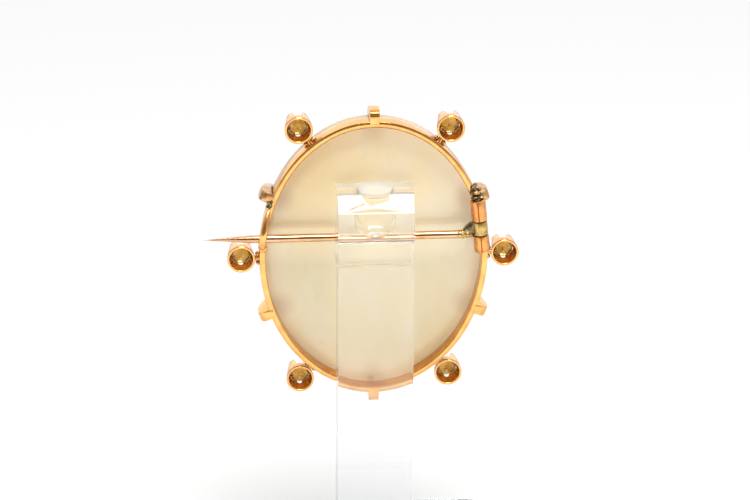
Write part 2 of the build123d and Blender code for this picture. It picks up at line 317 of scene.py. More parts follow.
@dataclass(frozen=True)
class Gold:
    """Worn rose gold, darkened in its corners and grooves partly by grime and partly by painted shade,
    with fine scratches.
    """

    name: str
    bright: Colour = (0.80, 0.42, 0.125)
    warm: Colour = (0.73, 0.33, 0.085)
    patch: float = 2.2
    patch_edges: Pair = (0.35, 0.68)
    stain: Colour = (0.36, 0.27, 0.10)
    stain_share: float = 0.0
    stain_size: float = 0.9
    stain_edges: Pair = (0.62, 0.72)
    # The darkening in corners and grooves: grime and painted shade.
    grime_and_shade: Colour = (0.10, 0.045, 0.015)
    grime_and_shade_reach: float = 0.45
    grime_and_shade_size: float = 0.5
    grime_and_shade_edges: Pair = (0.05, 0.95)
    roughness: float = 0.16
    roughness_size: float = 0.35
    roughness_drift: float = 0.12
    roughness_corner: float = 0.25
    coat: float = 0.45
    coat_roughness: float = 0.12
    scratch: float = 0.35
    scratch_width: float = 0.05
    scratch_share: float = 0.25
    scratch_stretch: Triple = (0.10, 1.0, 1.0)
    scratch_turn: Triple = (0.0, 24.0, 9.0)
    dent_size: float = 0.8
    relief_depth: float = 0.012

    def make(self) -> bpy.types.Material:
        """Write the finish.

        Returns:
            The material.
        """
        material, graph = new_material(self.name)
        tone = graph.cloud(self.patch, detail=4.0).stepped(*self.patch_edges)
        metal = graph.blend(tone, self.bright, self.warm)
        if self.stain_share > 0:
            low, high = self.stain_edges
            stained = graph.cloud(self.stain_size, detail=5.0, roughness=0.6)
            stained = stained.stepped(low - self.stain_share * 0.4, high)
            metal = graph.blend(stained * min(1.0, self.stain_share * 1.6), metal, self.stain)
        # Darker in corners and grooves by ambient occlusion: partly grime, partly painted shade.
        corner = graph.hollow(self.grime_and_shade_reach)
        hollow_darkening = (corner * 1.25) ** 2.2 * (0.55 + graph.cloud(self.grime_and_shade_size, detail=4.0) * 0.9)
        metal = graph.blend(hollow_darkening.stepped(*self.grime_and_shade_edges), metal, self.grime_and_shade)
        drawn = graph.place(self.scratch_stretch, self.scratch_turn)
        lines = graph.cloud(self.scratch_width, detail=2.0, where=drawn)
        dents = graph.cloud(self.dent_size, detail=3.0)
        drift = graph.cloud(self.roughness_size, detail=4.0) * self.roughness_drift
        graph.surface({
            "Base Color": metal,
            "Metallic": 1.0,
            "Roughness": self.roughness + drift + corner * self.roughness_corner,
            "Coat Weight": self.coat,
            "Coat Roughness": self.coat_roughness,
            "Normal": graph.relief(lines * self.scratch_share + dents, self.relief_depth, self.scratch),
        })
        return material


ROSE_GOLD = Gold("rose_gold")
TUBE_GOLD = Gold("tube_gold", bright=(0.74, 0.34, 0.095), warm=(0.62, 0.23, 0.055), roughness=0.22,
                 stain_share=0.25)
OLIVE_GOLD = Gold("olive_gold", bright=(0.60, 0.40, 0.12), warm=(0.38, 0.24, 0.06), roughness=0.24,
                  patch=0.7, stain=(0.30, 0.24, 0.09), stain_share=0.45, scratch=0.9)
OLD_SOLDER = Gold("old_solder", bright=(0.38, 0.28, 0.11), warm=(0.10, 0.065, 0.025), roughness=0.20,
                  patch=0.8, stain=(0.06, 0.045, 0.02), stain_share=0.7, scratch=0.8)
STEM_GOLD = Gold("stem_gold", bright=(0.72, 0.43, 0.22), warm=(0.60, 0.32, 0.14), roughness=0.09,
                 scratch=0.2)
WORN_GOLD = Gold("worn_gold", bright=(0.64, 0.36, 0.15), warm=(0.42, 0.18, 0.05), roughness=0.15,
                 patch=0.8, stain=(0.22, 0.12, 0.04), stain_share=0.45, scratch=1.4, grime_and_shade_reach=0.7)
# Painted shade: the dark gold of the rings put in the collets' grooves where their shade falls.
GROOVE_SHADE_GOLD = Gold("groove_shade_gold", bright=(0.20, 0.085, 0.022), warm=(0.12, 0.045, 0.012), roughness=0.42)


@dataclass(frozen=True)
class Patch:
    """A soft patch of colour on the stone.

    Its place is in shares of the stone's half width and half height, its reach in millimetres.
    """

    across: float
    up: float
    reach: float
    share: float
    colour: Colour


@dataclass(frozen=True)
class Chalcedony:
    """Pale cloudy hardstone, with the claws showing through it as soft shadows.

    The places are in metres in the part's frame, the other sizes in millimetres.
    """

    middle: Vector
    half_width: float
    half_height: float
    shadows: tuple[Vector, ...]
    cream: Colour = (0.760, 0.665, 0.435)
    patches: tuple[Patch, ...] = (
        Patch(0.45, 0.62, 24.0, 0.75, (0.800, 0.645, 0.340)),
        Patch(-0.95, 0.25, 15.0, 0.45, (0.780, 0.715, 0.560)),
        Patch(-0.2, -0.9, 26.0, 0.9, (0.740, 0.600, 0.330)),
    )
    drift_stretch: Triple = (1.0, 0.6, 0.45)
    drift_turn: Triple = (0.0, 18.0, 0.0)
    band_size: float = 6.0
    band: Colour = (0.780, 0.715, 0.560)
    band_edges: Pair = (0.42, 0.72)
    band_share: float = 0.45
    wisp_size: float = 2.4
    wisp: Colour = (0.610, 0.490, 0.285)
    wisp_edges: Pair = (0.55, 0.8)
    wisp_share: float = 0.22
    claw_shadow: Colour = (0.45, 0.27, 0.11)
    shadow_reach: float = 3.2
    shadow_share: float = 0.4
    # A painted shadow of the bottom claw, showing through the stone near its lower edge.
    low_claw_shadow: Pair = (0.4, 1.6)
    low_claw_shadow_reach: float = 0.9
    low_claw_shadow_share: float = 0.8
    back_edges: Pair = (-3.0, -2.4)
    ground: Colour = (0.34, 0.205, 0.10)
    ground_share: float = 0.55
    white_layer: Colour = (0.60, 0.555, 0.47)
    # The painted light: a warm glow near the top, and pale light along the rim and on the shaded side.
    glow: Colour = (0.08, 0.02, 0.0)
    glow_reach: float = 26.0
    pale_glow: Colour = (0.30, 0.27, 0.20)
    pale_reach: float = 40.0
    shaded_side_reach: float = 32.0
    rim_edges: Pair = (0.70, 0.98)
    scatter: float = 0.35
    scatter_colour: Colour = (1.0, 0.62, 0.32)
    scatter_depth: float = 2.2

    def at(self, across: float, up: float) -> Vector:
        """A place on the stone, given in shares of its half sizes."""
        return self.middle + Vector((self.half_width * across, 0, self.half_height * up))

    def make(self) -> bpy.types.Material:
        """Write the finish.

        Returns:
            The material.
        """
        material, graph = new_material("chalcedony")
        drift = graph.place(self.drift_stretch, self.drift_turn)
        bands = graph.cloud(self.band_size, detail=3.0, where=drift)
        wisps = graph.cloud(self.wisp_size, detail=5.0, roughness=0.6, where=drift)
        back = graph.along("Y").stepped(*(edge * MM for edge in self.back_edges))
        carved = graph.signal("ShaderNodeAttribute", "Fac", {"attribute_name": "carved"})
        colour = self.colouring(graph, bands, wisps)
        colour = graph.blend((1.0 - back) * self.ground_share, colour, self.ground)
        colour = graph.blend(carved * (0.75 + wisps * 0.25), colour, self.white_layer)
        # Painted shadow of the bottom claw, seen through the stone.
        low_claw_shadow = self.middle + Vector((self.low_claw_shadow[0] * MM, 0, self.low_claw_shadow[1] * MM - self.half_height))
        under_low_claw_shadow = graph.near(low_claw_shadow, self.low_claw_shadow_reach) * self.low_claw_shadow_share
        colour = graph.blend(under_low_claw_shadow, colour, self.claw_shadow)
        graph.surface({
            "Base Color": colour,
            "Emission Color": self.shining(graph, bands, back),
            "Emission Strength": 1.0,
            "Roughness": 0.10 + wisps * 0.10 + carved * 0.18,
            "IOR": 1.54,
            "Subsurface Weight": self.scatter,
            "Subsurface Radius": self.scatter_colour,
            "Subsurface Scale": self.scatter_depth * MM,
            "Normal": graph.relief(graph.cloud(1.6, detail=2.0), 0.02, 0.25),
        })
        return material

    def colouring(self, graph: Graph, bands: Signal, wisps: Signal) -> Signal:
        """The back's colour: patches, bands and wisps, and the claws' shadows.

        Args:
            graph: the finish's graph.
            bands: the noise of the broad bands.
            wisps: the noise of the fine wisps.

        Returns:
            The colour.
        """
        colour = self.cream
        for patch in self.patches:
            soft = graph.near(self.at(patch.across, patch.up), patch.reach)
            colour = graph.blend(soft * patch.share, colour, patch.colour)
        colour = graph.blend(bands.stepped(*self.band_edges) * self.band_share, colour, self.band)
        colour = graph.blend(wisps.stepped(*self.wisp_edges) * self.wisp_share, colour, self.wisp)
        shades = [graph.near(spot, self.shadow_reach) for spot in self.shadows]
        return graph.blend(sum(shades[1:], shades[0]) * self.shadow_share, colour, self.claw_shadow)

    def shining(self, graph: Graph, bands: Signal, back: Signal) -> Signal:
        """The faint painted light that stands in for light scattered through the stone, and that lifts
        the ring's shade along the rim and on the shaded side.

        Args:
            graph: the finish's graph.
            bands: the noise of the broad bands.
            back: 1 on the stone's back, 0 on its front.

        Returns:
            The colour of the light.
        """
        high, shaded_side = self.at(0.0, 0.75), graph.near(self.at(-0.8, 0.5), self.shaded_side_reach)
        wide, tall = self.half_width, self.half_height
        share = graph.apart((1.0 / wide, 0.0, 1.0 / tall), (0.0, 0.0, self.middle.z / tall))
        # Painted light along the rim, more on the shaded side, lifting the shade that the ring casts on
        # the stone.
        rim = share.stepped(*self.rim_edges)
        warm = graph.near(high, self.glow_reach) * (0.6 + bands * 0.5) * back
        pale = graph.near(high, self.pale_reach) * 0.12 + shaded_side * 0.3 + rim * (0.2 + shaded_side * 0.4)
        return graph.blend(pale * back, graph.blend(warm, BLACK, self.glow), self.pale_glow)


@dataclass(frozen=True)
class Citrine:
    """A clear golden-brown faceted stone."""

    pale: Colour = (0.68, 0.40, 0.105)
    dark: Colour = (0.34, 0.15, 0.02)
    zone_size: float = 1.4
    zone_edges: Pair = (0.35, 0.7)

    def make(self) -> bpy.types.Material:
        """Write the finish.

        Returns:
            The material.
        """
        material, graph = new_material("citrine")
        zone = graph.cloud(self.zone_size, detail=2.0).stepped(*self.zone_edges)
        graph.surface({
            "Base Color": graph.blend(zone, self.pale, self.dark),
            "Roughness": 0.02 + graph.cloud(0.5) * 0.03,
            "IOR": 1.55,
            "Transmission Weight": 1.0,
        })
        return material


@dataclass(frozen=True)
class Acrylic:
    """Clear polished acrylic, very slightly wavy, with faint wipe marks and a sawn top.

    The knob's faint light stands in for its frosting, and the alpha keeps light from being
    caught in the foot.
    """

    sawn_from: float
    tint: Colour = (0.930, 0.938, 0.955)
    wiped: Colour = (0.89, 0.90, 0.91)
    wipe_stretch: Triple = (1.0, 1.0, 0.2)
    sawn_step: float = 0.04
    sawn_roughness: float = 0.85
    knob_edges: Pair = (0.3, 0.55)
    knob_glow: Colour = (0.20, 0.20, 0.21)
    alpha: float = 0.92

    def make(self) -> bpy.types.Material:
        """Write the finish.

        Returns:
            The material.
        """
        material, graph = new_material("clear_acrylic")
        haze = graph.cloud(1.5, detail=5.0, where=graph.place(self.wipe_stretch))
        up = graph.along("Z")
        sawn = up.stepped(self.sawn_from * MM, (self.sawn_from + self.sawn_step) * MM)
        knob = up.stepped(*((self.sawn_from + edge) * MM for edge in self.knob_edges))
        graph.surface({
            "Base Color": graph.blend(haze.stepped(0.4, 0.9) * 0.3, self.tint, self.wiped),
            "Roughness": haze.stepped(0.55, 0.95) * 0.05 + sawn * self.sawn_roughness,
            "IOR": 1.49,
            "Alpha": self.alpha,
            "Emission Color": graph.blend(knob, BLACK, self.knob_glow),
            "Emission Strength": 1.0,
            "Transmission Weight": 1.0,
            "Normal": graph.relief(graph.cloud(9.0, detail=1.0), 0.05, 0.4),
        })
        return material


@dataclass(frozen=True)
class Glue:
    """The clear cement between the peg and the bar, which bends light only a little."""

    tint: Colour = (1.0, 1.0, 0.99)
    cloudy: Colour = (0.96, 0.96, 0.95)

    def make(self) -> bpy.types.Material:
        """Write the finish.

        Returns:
            The material.
        """
        material, graph = new_material("clear_cement")
        graph.surface({
            "Base Color": graph.blend(graph.cloud(1.0, detail=4.0), self.tint, self.cloudy),
            "Roughness": 0.03,
            "IOR": 1.07,
            "Transmission Weight": 1.0,
        })
        return material


# Shapes


@dataclass(frozen=True)
class Oval:
    """The ring's outer edge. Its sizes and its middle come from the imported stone."""

    half_width: float
    half_height: float
    height: float

    def point(self, angle: float) -> tuple[Pair, Pair]:
        """The edge's point in a direction, and the outward direction there.

        Args:
            angle: the direction from the middle, in degrees, seen from the front.

        Returns:
            The point and the unit normal, each as across and up.
        """
        across, up = math.cos(math.radians(angle)), math.sin(math.radians(angle))
        reach = 1 / math.hypot(across / self.half_width, up / self.half_height)
        across, up = reach * across, reach * up
        slope = Vector((across / self.half_width**2, up / self.half_height**2)).normalized()
        return (across, up), (slope.x, slope.y)

    def half_at(self, up: float) -> float:
        """Half the ring's width at a height."""
        return self.half_width * math.sqrt(1 - (up / self.half_height) ** 2)

    def spot(self, across: float, up: float, depth: float) -> Vector:
        """A point of the brooch, in millimetres in the part's frame."""
        return Vector((across, -depth, self.height + up))

    def out(self, angle: float, outward: float, sideways: float, depth: float) -> Vector:
        """A point beside the ring's edge.

        Args:
            angle: where on the edge, in degrees.
            outward: how far outside the edge.
            sideways: how far along the edge.
            depth: how far towards the front.

        Returns:
            The point in millimetres in the part's frame.
        """
        (across, up), (nx, nz) = self.point(angle)
        return self.spot(across + outward * nx - sideways * nz, up + outward * nz + sideways * nx, depth)


def cubic_path(points: list[Vector], steps: int) -> list[Vector]:
    """A smooth path through points.

    Args:
        points: what it passes through.
        steps: how many stretches each run is cut into.

    Returns:
        The points of the path.
    """
    ends = [points[0] * 2 - points[1], *points, points[-1] * 2 - points[-2]]
    path = []
    for before, start, end, after in zip(ends, ends[1:], ends[2:], ends[3:]):
        for step in range(steps):
            t = step / steps
            path.append(0.5 * (2 * start + (end - before) * t
                               + (2 * before - 5 * start + 4 * end - after) * t * t
                               + (3 * start - before - 3 * end + after) * t**3))
    path.append(points[-1].copy())
    return path


def smooth_step(value: float) -> float:
    """A smooth step from 0 at 0 to 1 at 1."""
    t = min(max(value, 0.0), 1.0)
    return t * t * (3 - 2 * t)


def ripple(spot: Vector, size: float, seed: float = 0.0) -> float:
    """A fixed unevenness of a hand-made surface.

    Args:
        spot: where, in millimetres.
        size: how large its waves are.
        seed: which of many patterns.

    Returns:
        A number from about -1 to 1.
    """
    return noise.noise(spot / size + Vector((seed, seed * 1.7, -seed)))


SEAM_WIDTH = 0.07


class Shape:
    """A mesh under way, in millimetres in the part's frame."""

    def __init__(self) -> None:
        """Start with nothing."""
        self.points: list[Vector] = []
        self.faces: list[tuple[int, ...]] = []

    def loft(self, rows: list[list[Vector]], closed: bool = False, capped: bool = False) -> None:
        """Join rows of points, each a closed loop, into a skin.

        Args:
            rows: the loops in order, all of one length.
            closed: whether the last loop joins the first.
            capped: whether the first and the last loop are closed by a face.
        """
        start = len(self.points)
        width = len(rows[0])
        for row in rows:
            self.points.extend(row)
        spans = len(rows) if closed else len(rows) - 1
        for i in range(spans):
            here = start + i * width
            there = start + ((i + 1) % len(rows)) * width
            for j in range(width):
                k = (j + 1) % width
                self.faces.append((here + j, here + k, there + k, there + j))
        if capped:
            for row, turned in ((0, True), (len(rows) - 1, False)):
                loop = [start + row * width + j for j in range(width)]
                self.fan(loop[::-1] if turned else loop)

    def fan(self, loop: list[int]) -> None:
        """Close a loop of points with triangles about its middle.

        Args:
            loop: the points' numbers, in order.
        """
        middle = sum((self.points[i] for i in loop), Vector()) / len(loop)
        self.points.append(middle)
        for i, j in zip(loop, loop[1:] + loop[:1]):
            self.faces.append((i, j, len(self.points) - 1))

    def revolve(self, foot: Vector, axis: Vector, profile: list[Pair], steps: int, seam: float = 0.0,
                seam_at: Vector | None = None, closed: bool = False) -> None:
        """Turn a profile about an axis.

        Args:
            foot: the axis's start.
            axis: its unit direction.
            profile: the outline as pairs of distance along the axis and radius.
            steps: how many sides it has.
            seam: how deep a lengthwise seam is, or 0.
            seam_at: the direction that the seam faces.
            closed: whether the outline is a closed loop, as a tube's is.
        """
        side = (seam_at or axis.orthogonal()).copy()
        side = (side - axis * side.dot(axis)).normalized()
        other = axis.cross(side)
        rows = []
        for along, radius in profile:
            row = []
            for step in range(steps):
                turn = 2 * math.pi * step / steps
                off = math.atan2(math.sin(turn), math.cos(turn))
                cut = seam * math.exp(-((off * radius / SEAM_WIDTH) ** 2)) if seam else 0.0
                row.append(foot + axis * along + (side * math.cos(turn) + other * math.sin(turn))
                           * max(radius - cut, 0.001))
            rows.append(row)
        self.loft(rows, closed=closed, capped=not closed)

    def sweep(self, path: list[Vector], widths: list[float], thicks: list[float], wide: list[Vector],
              corners: int, square: float) -> None:
        """Run a rounded flat section along a path.

        Args:
            path: the points of its middle line.
            widths: the section's width at each point.
            thicks: its thickness at each point.
            wide: the direction of the width at each point.
            corners: how many points the section has.
            square: how square it is, from 2 for an ellipse upwards.
        """
        rows = []
        for i, spot in enumerate(path):
            along = (path[min(i + 1, len(path) - 1)] - path[max(i - 1, 0)]).normalized()
            flat = (wide[i] - along * wide[i].dot(along)).normalized()
            up = along.cross(flat)
            row = []
            for corner in range(corners):
                turn = 2 * math.pi * corner / corners
                c, s = math.cos(turn), math.sin(turn)
                reach = (abs(c) ** square + abs(s) ** square) ** (-1 / square)
                row.append(spot + flat * (c * reach * widths[i] / 2) + up * (s * reach * thicks[i] / 2))
            rows.append(row)
        self.loft(rows, capped=True)

    def slab(self, outline: list[Vector], thick: Vector, round_off: float) -> None:
        """A flat piece with rounded edges.

        Args:
            outline: one face's outline.
            thick: from that face to the other.
            round_off: how far the edges are rounded.
        """
        sheet = bmesh.new()
        face = sheet.faces.new([sheet.verts.new(p) for p in outline])
        grown = bmesh.ops.extrude_face_region(sheet, geom=[face])
        moved = [v for v in grown["geom"] if isinstance(v, bmesh.types.BMVert)]
        bmesh.ops.translate(sheet, verts=moved, vec=thick)
        bmesh.ops.recalc_face_normals(sheet, faces=sheet.faces)
        bmesh.ops.bevel(sheet, geom=list(sheet.edges), offset=round_off, offset_type="OFFSET", segments=3,
                        profile=0.5, affect="EDGES", clamp_overlap=True)
        sheet.verts.index_update()
        start = len(self.points)
        self.points.extend(v.co.copy() for v in sheet.verts)
        self.faces.extend(tuple(start + v.index for v in f.verts) for f in sheet.faces)
        sheet.free()

    def ball(self, middle: Vector, sizes: Vector, seed: float = 0.0, uneven: float = 0.12) -> None:
        """A lumpy ball.

        Args:
            middle: its middle.
            sizes: its half sizes along X, Y and Z.
            seed: which of many lumps.
            uneven: how lumpy it is.
        """
        lump = bmesh.new()
        bmesh.ops.create_icosphere(lump, subdivisions=3, radius=1.0)
        lump.verts.index_update()
        start = len(self.points)
        for vert in lump.verts:
            grow = 1 + uneven * ripple(vert.co, 0.8, seed)
            self.points.append(middle + Vector(c * s for c, s in zip(vert.co * grow, sizes)))
        self.faces.extend(tuple(start + v.index for v in f.verts) for f in lump.faces)
        lump.free()

    def make(self, name: str, body: Body, sharp: float = 38.0, fused: float = 0.0) -> bpy.types.Object:
        """Turn the shape into a piece of the part.

        Args:
            name: the piece's name.
            body: the body that it rides on.
            sharp: the angle in degrees above which an edge stays sharp.
            fused: the grain in millimetres at which overlapping solids are fused, or 0.

        Returns:
            The piece.
        """
        mesh = bpy.data.meshes.new(name)
        mesh.from_pydata(self.points, [], self.faces)
        piece = bpy.data.objects.new(name, mesh)
        bpy.context.scene.collection.objects.link(piece)
        if fused:
            fuse = piece.modifiers.new("fuse", "REMESH")
            fuse.mode = "VOXEL"
            fuse.voxel_size = fused
            soften = piece.modifiers.new("soften", "SMOOTH")
            soften.iterations = 5
            graph = bpy.context.evaluated_depsgraph_get()
            mesh = bpy.data.meshes.new_from_object(piece.evaluated_get(graph))
            piece.modifiers.clear()
            piece.data = mesh
        mesh.transform(Matrix.Scale(MM, 4))
        work = bmesh.new()
        work.from_mesh(mesh)
        bmesh.ops.remove_doubles(work, verts=work.verts, dist=1e-7)
        bmesh.ops.recalc_face_normals(work, faces=work.faces)
        for edge in work.edges:
            edge.smooth = len(edge.link_faces) == 2 and edge.calc_face_angle(0.0) < math.radians(sharp)
        for face in work.faces:
            face.smooth = True
        work.to_mesh(mesh)
        work.free()
        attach(piece, body.value)
        return piece


# Sub-assemblies


class SubAssembly(ABC):
    """A group of pieces that belong together: it builds their meshes and dresses them."""

    @abstractmethod
    def build(self) -> list[bpy.types.Object]:
        """Every piece of the group, dressed."""

    def dress(self, piece: bpy.types.Object, finish: bpy.types.Material, slot: Slot) -> bpy.types.Object:
        """Give a piece its finish.

        Args:
            piece: the piece.
            finish: its material.
            slot: the record's slot for it; not used.

        Returns:
            The piece.
        """
        piece.data.materials.clear()
        piece.data.materials.append(finish)
        return piece


@dataclass
class Mount(SubAssembly):
    """The gold that holds the stone: the ring and its six claws."""

    oval: Oval
    gold: bpy.types.Material
    worn: bpy.types.Material
    worn_claws: tuple[int, ...] = (2, 6)
    steps: int = 320
    section: tuple[Pair, ...] = (
        (0.0, 2.2), (0.0, 0.10), (0.02, 0.035), (0.07, 0.0), (0.48, -0.01), (0.86, 0.0), (0.905, 0.03),
        (0.925, 0.10), (0.945, 0.035), (0.975, 0.03), (1.0, 0.09), (1.0, 2.2),
    )
    uneven: float = 0.03
    wave: float = 5.0
    claw_angles: tuple[float, ...] = (90, 32, -30, -90, -150, 150)
    claw_width: float = 1.65
    claw_round: float = 0.11
    claw_lean: float = 0.036
    claw_profile: tuple[Pair, ...] = (
        (-0.78, -0.012), (0.9, -0.012), (1.50, 0.22), (1.86, 0.85), (1.9, 2.6), (1.2, 4.6), (0.0, 5.49),
        (-1.3, 5.63), (-1.3, 4.98), (-0.15, 4.34), (0.06, 3.8), (0.06, 0.75), (-0.78, 0.3),
    )
    shadow_inset: float = 2.0

    def build(self) -> list[bpy.types.Object]:
        """Build the ring and the claws.

        Returns:
            The pieces, the ring first.
        """
        pieces = [self.ring()]
        for number, angle in enumerate(self.claw_angles, start=1):
            pieces.append(self.claw(number, angle))
        for piece in pieces:
            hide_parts("frame")
        return pieces

    def ring(self) -> bpy.types.Object:
        """The ring, a little uneven as it was made by hand.

        Returns:
            The piece.
        """
        ring = Shape()
        rows = []
        for step in range(self.steps):
            turn = 360.0 * step / self.steps
            row = []
            for inset, depth in self.section:
                spot = self.oval.out(turn, -inset, 0.0, depth)
                wave = self.uneven * ripple(spot, self.wave, 2.0)
                row.append(self.oval.out(turn, -inset + wave, 0.0, depth + wave * 0.6))
            rows.append(row)
        ring.loft(rows, closed=True)
        return self.dress(ring.make("bezel_ring", Body.BROOCH), self.gold, Slot.GOLD)

    def claw(self, number: int, angle: float) -> bpy.types.Object:
        """One claw.

        Args:
            number: its number, from the top round.
            angle: where it stands, in degrees.

        Returns:
            The piece.
        """
        shape = Shape()
        half = self.claw_width / 2
        lean = self.claw_lean * ripple(Vector((angle, 0, 0)), 11.0)
        side = [self.oval.out(angle, out, -half + lean * out, depth) for out, depth in self.claw_profile]
        across = self.oval.out(angle, 0, half, 0) - self.oval.out(angle, 0, -half, 0)
        shape.slab(side, across, self.claw_round)
        finish = self.worn if number in self.worn_claws else self.gold
        return self.dress(shape.make(f"claw_{number}", Body.BROOCH), finish, Slot.GOLD)

    def shadows(self) -> tuple[Vector, ...]:
        """Where the claws' tips lie on the stone, in metres."""
        return tuple(self.oval.out(angle, -self.shadow_inset, 0, 0) * MM for angle in self.claw_angles)


@dataclass
class Collets(SubAssembly):
    """The six small settings, their pegs and solder grains, and the citrines in them."""

    oval: Oval
    gold: bpy.types.Material
    # The dark gold of the rings of painted shade in the grooves.
    hollow_darkening: bpy.types.Material
    stone: bpy.types.Material
    angles: tuple[float, ...] = (62.2, -0.9, -62.6, -119.0, 180.6, 118.6)
    gap: float = 0.7
    forward: float = 1.0
    back_radius: float = 2.28
    front_radius: float = 2.0
    length: float = 4.4
    wall: float = 0.34
    groove: float = 0.50
    groove_depth: float = 0.25
    foot_rim: float = 0.16
    # Where the dark ring of painted shade sits in the groove.
    groove_shade_start: float = 0.06
    groove_shade_inside: float = 0.2
    groove_shade_outside: float = 0.015
    teeth: int = 4
    tooth_depth: float = 2.65
    notch_start: float = 0.16
    notch_span: float = 0.26
    tooth_fold: float = 0.35
    uneven: float = 0.03
    peg_radius: float = 0.42
    peg_flare: float = 1.35
    peg_root: float = 0.35
    peg_depth: float = 1.6
    grain_radius: float = 0.42
    grain_offset: float = 0.8
    gem_depth: float = 2.75
    gem_gap: float = 0.05
    gem_girdle: float = 0.15
    steps: int = 96

    def build(self) -> list[bpy.types.Object]:
        """Build every collet with its peg, grains and stone, and the dark rings of painted shade in the
        grooves behind them.

        Returns:
            The pieces.
        """
        pieces = []
        hollow_darkening = Shape()
        for number, angle in enumerate(self.angles, start=1):
            middle = self.oval.out(angle, self.gap + self.back_radius, 0, self.forward)
            collet = self.collet(number, angle, middle)
            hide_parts("frame")
            pieces += [collet, self.gem(number, middle)]
            # A dark ring in the groove stands in for its shade: painted shade.
            self.seam(hollow_darkening, middle)
        groove_shades = self.dress(hollow_darkening.make("collet_groove_shade", Body.BROOCH), self.hollow_darkening, Slot.GOLD)
        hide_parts("frame")
        return [*pieces, groove_shades]

    def seam(self, shape: Shape, middle: Vector) -> None:
        """Add the dark ring under a collet's back rim, painted shade in its groove.

        Args:
            shape: the dark rings of painted shade under way.
            middle: the middle of the collet's open back.
        """
        start, end = self.groove_shade_start, self.foot_rim + self.groove * 0.5
        inner, outer = self.back_radius - self.groove_shade_inside, self.back_radius + self.groove_shade_outside
        section = ((inner, start), (outer, start), (outer - 0.02, end), (inner, end))
        turns = [2 * math.pi * step / self.steps for step in range(self.steps)]
        shape.loft([[middle + Vector((r * math.cos(t), -d, r * math.sin(t))) for r, d in section]
                    for t in turns], closed=True)

    def outline(self) -> list[Pair]:
        """The section of a collet's wall before its front is cut into teeth.

        Returns:
            The corners as pairs of radius and depth.
        """
        back, front, length = self.back_radius, self.front_radius, self.length
        waist = back - self.groove_depth
        inner_back, inner_front = back - self.wall, front - self.wall
        return [
            (back - 0.05, 0.0), (back, 0.05), (back, self.foot_rim),
            (waist, self.foot_rim + self.groove * 0.2), (waist, self.foot_rim + self.groove * 0.7),
            (back - self.groove_depth * 0.4, self.foot_rim + self.groove),
            (back - 0.04, length * 0.38), (back - 0.12, length * 0.62), (front, length * 0.82),
            (front, length * 0.93), (front - 0.08, length),
            (inner_front - self.tooth_fold, length), (inner_front - self.tooth_fold, length - 0.14),
            (inner_front, length - self.tooth_fold * 2), (inner_back + 0.02, 0.4),
            (inner_back, 0.05), (inner_back + 0.05, 0.0),
        ]

    def collet(self, number: int, angle: float, middle: Vector) -> bpy.types.Object:
        """One collet, an open ring that tapers forwards and ends in a crown of teeth.

        Args:
            number: its number.
            angle: where it stands, in degrees.
            middle: the middle of its open back.

        Returns:
            The piece.
        """
        shape = Shape()
        self.crown(shape, number, middle)
        self.peg(shape, number, angle)
        return self.dress(shape.make(f"collet_{number}", Body.BROOCH), self.gold, Slot.GOLD)

    def crown(self, shape: Shape, number: int, middle: Vector) -> None:
        """Add a collet's wall, with its teeth folded over the stone.

        Args:
            shape: the collet under way.
            number: its number.
            middle: the middle of its open back.
        """
        inner_front = self.front_radius - self.wall
        outline = self.outline()
        rows = []
        for step in range(self.steps):
            turn = 2 * math.pi * step / self.steps
            place = (turn * self.teeth / (2 * math.pi)) % 1.0
            share = smooth_step((abs(place - 0.5) - self.notch_start) / self.notch_span)
            notch = self.tooth_depth * share
            wave = self.uneven * ripple(Vector((math.cos(turn), math.sin(turn), number)), 0.7)
            row = []
            for radius, depth in outline:
                front = smooth_step((depth - self.length * 0.22) / (self.length * 0.7))
                reach = radius + wave * front - notch * front * 0.03
                if radius < inner_front:
                    reach += self.tooth_fold * min(1.0, share * 1.6)
                row.append(middle + Vector((reach * math.cos(turn), -(depth - notch * front),
                                            reach * math.sin(turn))))
            rows.append(row)
        shape.loft(rows, closed=True)

    def peg(self, shape: Shape, number: int, angle: float) -> None:
        """Add the peg between the ring and a collet, with a solder grain on each side.

        Args:
            shape: the collet under way.
            number: its number.
            angle: where it stands, in degrees.
        """
        root, thick, wide = self.peg_root, self.peg_radius, self.peg_radius * self.peg_flare
        foot = self.oval.out(angle, -root, 0, self.peg_depth)
        _, (nx, nz) = self.oval.point(angle)
        length = root + self.gap + self.wall * 0.6
        shape.revolve(foot, Vector((nx, 0, nz)), [
            (0.0, wide), (root, thick * 1.3), (root + 0.2, thick), (length - 0.3, thick), (length, wide),
        ], 24)
        for side in (-1, 1):
            grain = self.oval.out(angle, 0.2, side * self.grain_offset, self.peg_depth)
            size = self.grain_radius * (1 + 0.2 * ripple(grain, 3.0, side))
            shape.ball(grain, Vector((size, size, size)), seed=number + side * 0.3)

    def gem(self, number: int, middle: Vector) -> bpy.types.Object:
        """One round brilliant-cut stone, its table to the front and its point to the back.

        Args:
            number: its number.
            middle: the middle of the collet's open back.

        Returns:
            The piece.
        """
        inner_back, inner_front = self.back_radius - self.wall, self.front_radius - self.wall
        slope = (inner_front - inner_back) / (self.length - self.tooth_fold * 2)
        radius = inner_back + slope * (self.gem_depth - 0.15) - self.gem_gap
        radius *= math.cos(math.pi / 16)
        half = math.radians(22.5)
        table, table_up = radius * 0.56, radius * 0.33
        star, lower = radius * 0.78, radius * 0.26
        point = -radius * 0.86
        star_up = table_up * (radius - star * math.cos(half)) / (radius - table)
        lower_up = point * (radius - lower * math.cos(half)) / radius

        def at(reach: float, turn: float, up: float) -> Vector:
            """A corner of the stone."""
            return middle + Vector((reach * math.cos(turn), -self.gem_depth - up, reach * math.sin(turn)))

